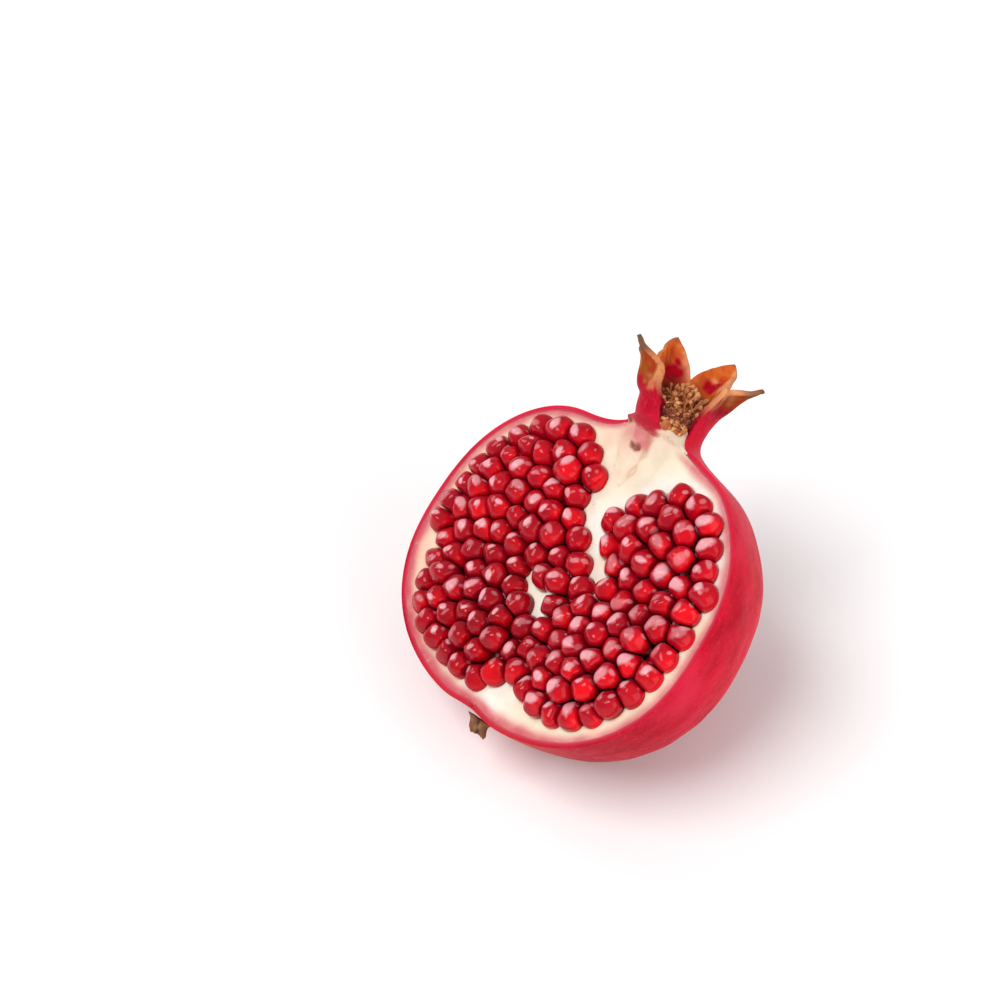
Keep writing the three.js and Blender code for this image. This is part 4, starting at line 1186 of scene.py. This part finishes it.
def flesh_solid(looks, arils, steps=232, wall_rows=7, back_rows=38):
    """Points, faces and paints of the flesh: front, a wall down its rim, and the back."""
    side, along, level, inside, share = flesh_front(steps, arils)
    place = np.stack([side, along], -1)
    fade = 1 - smooth(share, 0.93, 0.995)
    creases, *marks = face_creases(side, along)
    relief = 0.10 * ripple(place, 14, 31) + 0.05 * ripple(place, 5, 32) - creases
    out = level - 0.02 + relief * fade - 0.25 * smooth(inside, -0.9, 0.1)
    out = out - (looks.pocket / MM - 0.25) * smooth(inside, -0.1, 1.2)
    front = np.stack([side, along, out], -1)
    # Wall of the rim, and the back: rings of the rim that shrink behind the middle plane.
    last, turned = steps - 1, np.arange(steps - 2, -1, -1)
    border = np.concatenate([
        np.arange(steps), np.arange(1, steps) * steps + last, last * steps + turned,
        turned[:-1] * steps])
    rim = front.reshape(-1, 3)[border]
    mirrored = rim * np.array([1, 1, -1])
    shell = [mix(rim, mirrored, q) for q in np.linspace(0, 1, wall_rows)]
    for size in np.sin(np.linspace(math.pi / 2, 0, back_rows))[1:]:
        s, a = rim[:, 0] * size, rim[:, 1] * size
        behind = layer_depth(s, a, FLESH_DEPTH + 0.5)[1]
        shell.append(np.stack([s, a, np.minimum(behind, mirrored[:, 2])], -1))
    shell = np.stack(shell)
    first = steps * steps
    faces = np.concatenate([
        grid_faces(steps, steps),
        grid_faces(len(shell), len(rim), around=True, first=first)[:, ::-1]])
    points = to_part(np.concatenate([front.reshape(-1, 3), shell.reshape(-1, 3)]))
    points[first:, 2] = np.maximum(points[first:, 2], FLESH_DEPTH + 0.4)
    rest = np.zeros(shell[..., 0].size)
    painted = flesh_paint(looks, side, along, share, *marks)
    # The depth inside the pockets is kept for the juice stain and painted shade.
    paints = {"paint": np.concatenate([painted.reshape(-1, 3),
                                       np.broadcast_to(looks.cream, (len(rest), 3))]),
              "lap": np.concatenate([marks[2].ravel(), rest]),
              "juice_and_shade": np.concatenate([inside.ravel(), rest - 3])}
    return points, faces, paints


def flesh_paint(looks, side, along, share, brown, hole, lapped, stained, pink):
    """Colour of the cut face: cream with blush patches, white veins and a pink fringe.

    Browned creases, the hole, and the skin that laps over below the neck lie on top."""
    cream, white, blush, fringe, tan, rust, crimson = tones(
        looks, "cream white blush fringe tan rust crimson")
    place = np.stack([side, along], -1)
    patch = 0.5 * ripple(place, 22, 41) + 0.3 * ripple(place, 7, 42)
    edge = (1 - share) * 46 + 0.5 * patch
    painted = mix(cream, blush,
                  (smooth(patch, -0.2, 1.2) * 0.45 + 0.45 * smooth(-side, 8, 40)).clip(0, 0.8))
    septum = bell(side, 3, 9) * smooth(-along, -30, -8)
    painted = mix(painted, white, septum * 0.8)
    band = line_distance(side, along, CHAMBERS["right"][-5:] + CHAMBERS["right"][:9])
    painted = mix(painted, white, bell(band, 0, 3.4) * 0.9)
    below = 1 - smooth(along, 37.5, 40)
    stemward = smooth(-along - 0.7 * side, 10, 32)
    painted = mix(painted, fringe, (1 - smooth(edge, 0.8, 3.4 + 1.6 * stemward)) * 0.9 * below)
    painted = mix(painted, crimson * 0.45 + fringe * 0.5,
                  (1 - smooth(edge, 0.4, 1.0 + 2.6 * stemward)) * (0.35 + 0.55 * stemward) * below)
    painted = mix(painted, fringe, (pink * 0.62).clip(0, 0.85))
    painted = mix(painted, tan, brown.clip(0, 0.85))
    painted = mix(painted, rust, hole ** 0.25 * 0.85)
    return mix(painted, crimson, np.maximum(lapped, 0.85 * stained))


def line_distance(side, along, corners):
    """Distance from places of the face to a line through corners."""
    here = np.stack([side, along], -1)
    far = np.full(side.shape, 1e3)
    for start, end in zip(np.array(corners[:-1], float), np.array(corners[1:], float)):
        way = end - start
        share = (((here - start) @ way) / (way @ way)).clip(0, 1)
        far = np.minimum(far, np.linalg.norm(here - start - share[..., None] * way, axis=-1))
    return far


# Creases of the flesh: corners (side, along), width, depth and how browned each is, and
# the line of the small hole.
CREASES = (
    (((5.5, 40.4), (4.6, 37.6), (3.9, 35.1), (2.7, 31.9), (1.5, 28.3), (-0.4, 24.8)),
     0.7, 0.3, 0.42),
    (((13.9, 44), (13, 40.9), (12.7, 39.5), (15.4, 37.6)), 1.1, 0.25, 0.1),
    (((8, 41), (8.6, 36), (7.6, 30), (5.5, 26)), 1.4, 0.22, 0.1),
    (((-7, 33), (-3, 29), (-1.5, 25)), 1.2, 0.15, 0.1),
    (((-3, 18.5), (3, 12.4), (8, 6)), 0.6, -0.25, 0.0),
)
HOLE = ((-1.6, 34.6), (0.4, 34.3), (1.6, 34.8))


def face_creases(side, along):
    """Depth of the creases of the flesh, and the marks that lie on it.

    The marks are how browned a place is, how near the small hole, how far lapped by the
    neck's skin, how far stained beside it, and how pink. A crease falls off as a bell
    curve of the distance from its line, and left of the ramp the skin laps over."""
    wobble = 0.3 * ripple(np.stack([side, along], -1), 5, 51, 6)
    depth, brown = np.zeros(side.shape), np.zeros(side.shape)
    for corners, width, deep, browned in CREASES:
        far = line_distance(side, along, corners) + wobble
        depth += deep * bell(far, 0, width)
        brown += browned * bell(far, 0, width * 0.8)
    hole = np.exp(-(line_distance(side, along, HOLE) / 0.6) ** 4)
    brown += 1.1 * bell(side, 1.9, 1.6) * bell(along, 6.4, 2.6)
    lapped = smooth(along + wobble - neck_foot(side), -0.6, 0.5)
    past = along + 2.4 * wobble - neck_foot(side)
    near = smooth(past, -6.6, -1.6) * (1 - smooth(side, 3.6, 5.8)) * smooth(side, -5, 0.5)
    pink = np.maximum(bell(side, -3.5, 6.5) * bell(along, 37.4, 3.2), 1.6 * near)
    stained = smooth(past, -1.4, -0.1) * (1 - smooth(side, 5.6, 7))
    return depth + 1.1 * hole - 0.75 * lapped, brown, hole, lapped, stained, pink


def flesh_material(looks):
    """Soft cream pith: matt, finely grained, light that spreads under its surface, and pockets darkened
    by juice stain and painted shade.
    """
    work = Shading("pomegranate_flesh", Subsurface_Weight=0.2, Subsurface_Scale=0.002,
                   Roughness=0.62, Specular_IOR_Level=0.35, Subsurface_Radius=(1.0, 0.6, 0.4))
    grain, cloud = work.noise(700, 4, 0.6), work.noise(110, 3, 0.6)
    flesh, juice_and_shade = work.span(work.read("lap"), 0, 1, 1, 0), work.read("juice_and_shade")
    tint = work.tinge(work.read("paint", "Color"), looks.blush, cloud, 0.5, 0.8, 0.35, flesh)
    tint = work.tinge(tint, looks.white, grain, 0.55, 0.8, 0.2, flesh)
    # Pink juice near the pockets; down in them a dark red that is juice stain and painted shade.
    tint = work.tinge(tint, looks.fringe, juice_and_shade, -0.55, 0.1, 0.5)
    tint = work.tinge(tint, looks.juice_stain_and_shade, juice_and_shade, 0.0, 0.3, 1.0)
    relief = work.bump(grain, 0.25, 0.0004)
    relief = work.bump(cloud, 0.3, 0.0015, relief)
    return work.wire(Base_Color=tint, Normal=relief)


# ---------------------------------------------------------------- stamens and stem

CUSHION_FOOT = CUP_FLOOR + 0.3
# The cushion's outline, as radius and height over its foot, from the foot to the top.
CUSHION = np.array([(0.02, 0.0), (4, 0.0), (6.7, 0.05), (6.9, 0.9), (6.7, 1.9), (5.9, 2.8),
                    (4.7, 3.5), (3.2, 3.8), (1.6, 3.9), (0.02, 3.95)])


def tube_points(path, radii, sides):
    """Rings of points around paths: each ring stands across its path's way.

    path is (tubes, stations, 3) and radii (tubes, stations)."""
    way = unit(np.gradient(path, axis=1))
    first = unit(np.cross(way, np.array([0.31, 0.2, 0.93])))
    second = np.cross(way, first)
    turn = (np.arange(sides) / sides * TAU)[None, None, :, None]
    return path[:, :, None] + radii[:, :, None, None] * (
        first[:, :, None] * np.cos(turn) + second[:, :, None] * np.sin(turn))


class POMEGRANATE_OT_stamens(bpy.types.Operator):
    """Dry stamens in the cup of the crown, on a low cushion"""
    bl_idname = "pomegranate.stamens"
    bl_label = "Stamens"

    def execute(self, context):
        looks = context.scene.pomegranate_tuft
        made = np.random.default_rng(77)
        points, faces, paints = join(filaments(looks, made), cushion(looks), grains(looks, made))
        make_piece("stamen_tuft", (to_part(points), faces, paints), "stamens",
                   tuft_material(looks))
        return {"FINISHED"}


def filaments(looks, made, stations=13, sides=7):
    """Points, faces and paints of the stamens.

    Feet follow the golden angle over the cup's floor. A filament bends from its foot to its
    tip with two waves, and thickens into an anther at its end."""
    count = looks.count
    share = np.sqrt((np.arange(count) + 0.5) / count)
    turn = np.arange(count) * GOLDEN
    foot = skin_point(5.8 * share, CUSHION_FOOT + 1.6, turn)
    tip_turn = turn + 1.5 * (made.random(count) - 0.5)
    tip_radius = (0.6 + 0.75 * made.random(count)) * 6.4 * share
    tip_height = CUSHION_FOOT + 3.6 + 7.6 * made.random(count) ** 1.3 * (1.2 - 0.8 * share)
    tip = skin_point(tip_radius, tip_height, tip_turn)
    place = np.linspace(0, 1, stations)[None]
    t = place[..., None]
    path = foot[:, None] + (tip - foot)[:, None] * t
    for waves, reach in ((1, 0.9), (2.3, 0.45)):
        swing = made.normal(size=(count, 1, 3)) * reach
        path = path + swing * np.sin(t * math.pi * waves + made.random((count, 1, 1)) * 2) * np.sin(
            t * math.pi * 0.5)
    slim = looks.filament / MM * (1.1 - 0.45 * place) * (0.8 + 0.5 * made.random((count, 1)))
    radii = slim + 0.5 * bell(place, 0.93, 0.08) * (0.5 + 0.8 * made.random((count, 1)))
    radii[:, 0] *= 1.4
    radii[:, -1] = 0.02
    rings = tube_points(path, radii, sides)
    # Each end closes on its own middle: the outermost ring is drawn together.
    for end in (0, -1):
        rings[:, end] = rings[:, end].mean(1, keepdims=True)
    brown, straw, rust = tones(looks, "brown straw rust")
    kind = made.random(count)[:, None, None]
    body = mix(brown, straw, np.broadcast_to(smooth(kind, 0.45, 1) * 0.8, rings.shape[:3]))
    body = mix(body, rust, smooth(kind, 0.4, 0) * 0.7)
    body = mix(body, straw, smooth(t, 0.85, 0.95) * 0.35)
    # Painted shade: darker towards the feet, deep in the tuft.
    body = mix(body, rust * 0.4, (1 - smooth(t, 0, 0.4)) * 0.6)
    faces = copies(grid_faces(stations, sides, around=True), count, stations * sides)
    return rings.reshape(-1, 3), faces, {"paint": body.reshape(-1, 3)}


def cushion(looks, sides=40):
    """The cushion under the stamens: rings of a dome with a lumpy top, closed below."""
    around = (np.arange(sides) / sides * TAU)[None]
    lump = 0.25 * np.sin(around * 7) * (CUSHION[:, 1:] > 1)
    dome = skin_point(CUSHION[:, :1], CUSHION_FOOT + CUSHION[:, 1:] + lump, around)
    dome[0], dome[-1] = dome[0].mean(0), dome[-1].mean(0)
    brown, rust = tones(looks, "brown rust")
    faces = grid_faces(len(CUSHION), sides, around=True)
    paint = np.broadcast_to(rust * 0.5 + brown * 0.1, (len(CUSHION) * sides, 3))
    return dome.reshape(-1, 3), faces, {"paint": paint}


def grains(looks, made, count=330, loose=80, rows=8, columns=10):
    """Dry grains over the cushion and its edge: old anthers, as small ellipsoids.

    The last ones lie on the flesh where the crown is open, and one is a larger scrap."""
    place = np.arange(count)
    reach = 7.9 * np.sqrt((place + 0.5) / count)
    top = CUSHION_FOOT + np.interp(reach, CUSHION[3:, 0][::-1], CUSHION[3:, 1][::-1])
    top = top - 3.4 * smooth(reach, 6.6, 7.9) * made.random(count)
    middles = skin_point(reach.clip(0, 7.4), top + 1.1 * made.random(count) ** 2, place * GOLDEN)
    height = 42.7 + 2.2 * made.random(loose)
    neck = outline()[-700:]
    wide = np.interp(height, neck[:, 1], neck[:, 0]) - 0.9 + 0.8 * made.random(loose)
    middles[-loose:] = skin_point(wide, height, np.radians(24 + 44 * made.random(loose)))
    middles[-1] = skin_point(9.4, 43.0, math.radians(56))
    axes = 0.42 + 0.45 * made.random((count, 1, 1, 3)) ** 2
    axes[-1] = (1.2, 1.7, 1.0)
    lumps = middles[:, None, None] + bead_grid(rows, columns)[None] * axes
    brown, straw, rust = tones(looks, "brown straw rust")
    kind = made.random(count)[:, None, None]
    paint = mix(brown, straw, np.broadcast_to(smooth(kind, 0.55, 1) * 0.9, lumps.shape[:3]))
    kind[-1] = 0.8
    paint = mix(paint, rust * 0.32, smooth(kind, 0.55, 0.2))
    faces = copies(grid_faces(rows, columns, around=True), count, rows * columns)
    return lumps.reshape(-1, 3), faces, {"paint": paint.reshape(-1, 3)}


def tuft_material(looks):
    """Dry fibres: matt brown with pale flecks and a rough grain."""
    work = Shading("pomegranate_stamen", Roughness=0.7, Specular_IOR_Level=0.3)
    fleck = work.noise(1600, 3, 0.6)
    tint = work.tinge(work.read("paint", "Color"), looks.straw, fleck, 0.5, 0.75, 0.6)
    tint = work.tinge(tint, looks.rust, work.noise(500, 2), 0.5, 0.75, 0.5)
    return work.wire(Base_Color=tint, Normal=work.bump(fleck, 0.5, 0.0003))


class POMEGRANATE_OT_stub(bpy.types.Operator):
    """Woody stub of the stem beside the pole of the fruit"""
    bl_idname = "pomegranate.stub"
    bl_label = "Stem stub"

    def execute(self, context):
        looks = context.scene.pomegranate_stub
        make_piece("stem_wood", stub(looks), "stem_stub", stub_material(looks), 50)
        return {"FINISHED"}


def stub(looks, stations=26, sides=44):
    """Points, faces and paints of the stub.

    Rings follow a profile that flares at the foot and breaks off unevenly at the end. Each
    ring's radius gets ridges, sines of the angle, and one crack runs along it."""
    turn = np.arange(sides) / sides * TAU
    share = np.linspace(0, 1, stations)[:, None]
    thick = np.interp(share, [0, 0.25, 0.8, 1], [1.1, 0.95, 0.9, 0.7])
    ridge = 0.05 * np.sin(turn * 7 + 1)[None] + 0.03 * np.sin(turn * 13 + share * 5)
    crack = bell((turn - 0.9 + math.pi) % TAU, math.pi, 0.16)
    radius = looks.radius / MM * (thick + ridge + 0.12 * bell(share, 0, 0.12) - 0.22 * crack)
    uneven = 0.25 * np.sin(turn * 2 + 0.6)[None] + 0.1 * np.sin(turn * 9)[None]
    height = -(STEM_HEIGHT + 0.1) - looks.reach / MM * share + uneven * share ** 3 + 0.25
    middle = 3 + 1.6 * share
    body = np.stack([middle * math.cos(FACE) + radius * np.cos(turn), height,
                     radius * np.sin(turn) - middle * math.sin(FACE)], -1)
    # The broken end: rings that shrink into a shallow hollow, and the foot closed by one point.
    ends, centre = [], body[-1].mean(0)
    for size, sink in ((0.85, 0.05), (0.6, 0.3), (0.3, 0.4), (0.0, 0.45)):
        ring = centre + (body[-1] - centre) * size
        ring[:, 1] += sink + 0.1 * np.sin(turn * 5) * size
        ends.append(ring)
    foot = np.broadcast_to(body[0].mean(0), body[0].shape)
    points = np.concatenate([foot[None], body, np.stack(ends)])
    bark, dark, wood = tones(looks, "bark dark wood")
    dull = np.zeros((len(points), sides))
    dull[1:stations + 1] = crack
    paint = mix(bark, dark, dull * 0.9)
    broken = np.concatenate([np.zeros(stations + 1), [0.7, 1, 1, 1]])[:, None]
    paint = mix(paint, wood, broken * 0.7)
    return (to_part(points.reshape(-1, 3)), grid_faces(len(points), sides, around=True),
            {"paint": paint.reshape(-1, 3)})


def stub_material(looks):
    """Dry bark with a fine lengthwise grain."""
    work = Shading("pomegranate_stem", Roughness=0.78, Specular_IOR_Level=0.3)
    grain = work.noise(900, 4, 0.65)
    tint = work.tinge(work.read("paint", "Color"), looks.dark, grain, 0.5, 0.75, 0.6)
    tint = work.tinge(tint, looks.wood, work.noise(350, 2), 0.5, 0.75, 0.4)
    return work.wire(Base_Color=tint, Normal=work.bump(grain, 0.5, 0.0006))


# ---------------------------------------------------------------- stage

# The camera looks past the fruit, which stands low and to the right in its picture.
AIM = CENTRE - 15.3 * RIGHT + 17.5 * UP


class POMEGRANATE_OT_stage(bpy.types.Operator):
    """Floor, soft light and camera"""
    bl_idname = "pomegranate.stage"
    bl_label = "Stage"

    def execute(self, context):
        looks = context.scene.pomegranate_stage
        scene = context.scene
        mesh = bpy.data.meshes.new("floor")
        reach = 3.0
        mesh.from_pydata([(-reach, -reach, 0), (reach, -reach, 0), (reach, reach, 0),
                          (-reach, reach, 0)], [], [(0, 1, 2, 3)])
        mesh.materials.append(Shading("pale_floor", Roughness=0.85, Specular_IOR_Level=0.2,
                                      Base_Color=rgba(looks.floor)).material)
        put("floor", mesh)

        world = bpy.data.worlds.new("soft_room")
        world.use_nodes = True
        shade = world.node_tree.nodes["Background"]
        shade.inputs["Color"].default_value = (1, 1, 1, 1)
        shade.inputs["Strength"].default_value = looks.sky
        scene.world = world
        sun = bpy.data.lights.new("key", "SUN")
        sun.energy, sun.angle = looks.key, math.radians(34)
        put("key", sun).rotation_euler = aimed((-0.45, -0.25, 0.9))
        lamp("fill", (0.75, -0.7, 0.45), 1.1, 1.0, looks.fill)
        lamp("rim", (-0.7, 0.59, 0.45), 0.9, 0.28, 1.2)

        lens = bpy.data.cameras.new("camera")
        lens.lens, lens.sensor_width = 100, 36
        camera = put("camera", lens)
        camera.location = AIM * MM + TOWARD * looks.distance
        camera.rotation_euler = (math.pi / 2 - LIFT, 0, 0)
        scene.camera = camera
        scene.view_settings.view_transform = "Standard"
        return {"FINISHED"}


def aimed(way):
    """Rotation of a light that stands on a way from the part and shines back along it."""
    return Vector(way).to_track_quat("Z", "Y").to_euler()


def lamp(name, way, distance, size, power):
    """A square lamp at a distance from the fruit, turned towards it."""
    light = bpy.data.lights.new(name, "AREA")
    light.size, light.energy = size, power
    holder = put(name, light)
    way = Vector(way).normalized()
    holder.location = Vector(CENTRE * MM) + way * distance
    holder.rotation_euler = aimed(way)


# ---------------------------------------------------------------- panel and registration

STEPS = ("stage", "skin", "flesh", "arils", "stamens", "stub")


class POMEGRANATE_PT_panel(bpy.types.Panel):
    """Pieces of the pomegranate"""
    bl_label = "Pomegranate"
    bl_idname = "POMEGRANATE_PT_panel"
    bl_space_type = "VIEW_3D"
    bl_region_type = "UI"
    bl_category = "Pomegranate"

    def draw(self, context):
        for step in STEPS:
            self.layout.operator(f"pomegranate.{step}")
        for name in SETTINGS:
            box = self.layout.box()
            group = getattr(context.scene, name)
            for key in group.bl_rna.properties.keys():
                if key not in ("rna_type", "name"):
                    box.prop(group, key)


SETTINGS = {
    "pomegranate_skin": SkinSettings,
    "pomegranate_flesh": FleshSettings,
    "pomegranate_arils": ArilSettings,
    "pomegranate_tuft": TuftSettings,
    "pomegranate_stub": StubSettings,
    "pomegranate_stage": StageSettings,
}
OPERATORS = (
    POMEGRANATE_OT_stage, POMEGRANATE_OT_skin, POMEGRANATE_OT_flesh, POMEGRANATE_OT_arils,
    POMEGRANATE_OT_stamens, POMEGRANATE_OT_stub,
)


def register():
    """Registers the settings, the operators and the panel."""
    for name, group in SETTINGS.items():
        bpy.utils.register_class(group)
        setattr(bpy.types.Scene, name, bpy.props.PointerProperty(type=group))
    for kind in (*OPERATORS, POMEGRANATE_PT_panel):
        bpy.utils.register_class(kind)


def unregister():
    """Takes back what register added."""
    for kind in (POMEGRANATE_PT_panel, *reversed(OPERATORS)):
        bpy.utils.unregister_class(kind)
    for name, group in reversed(SETTINGS.items()):
        delattr(bpy.types.Scene, name)
        bpy.utils.unregister_class(group)


def main():
    """Builds every piece in order."""
    register()
    for step in STEPS:
        getattr(bpy.ops.pomegranate, step)()


if __name__ == "__main__":
    main()
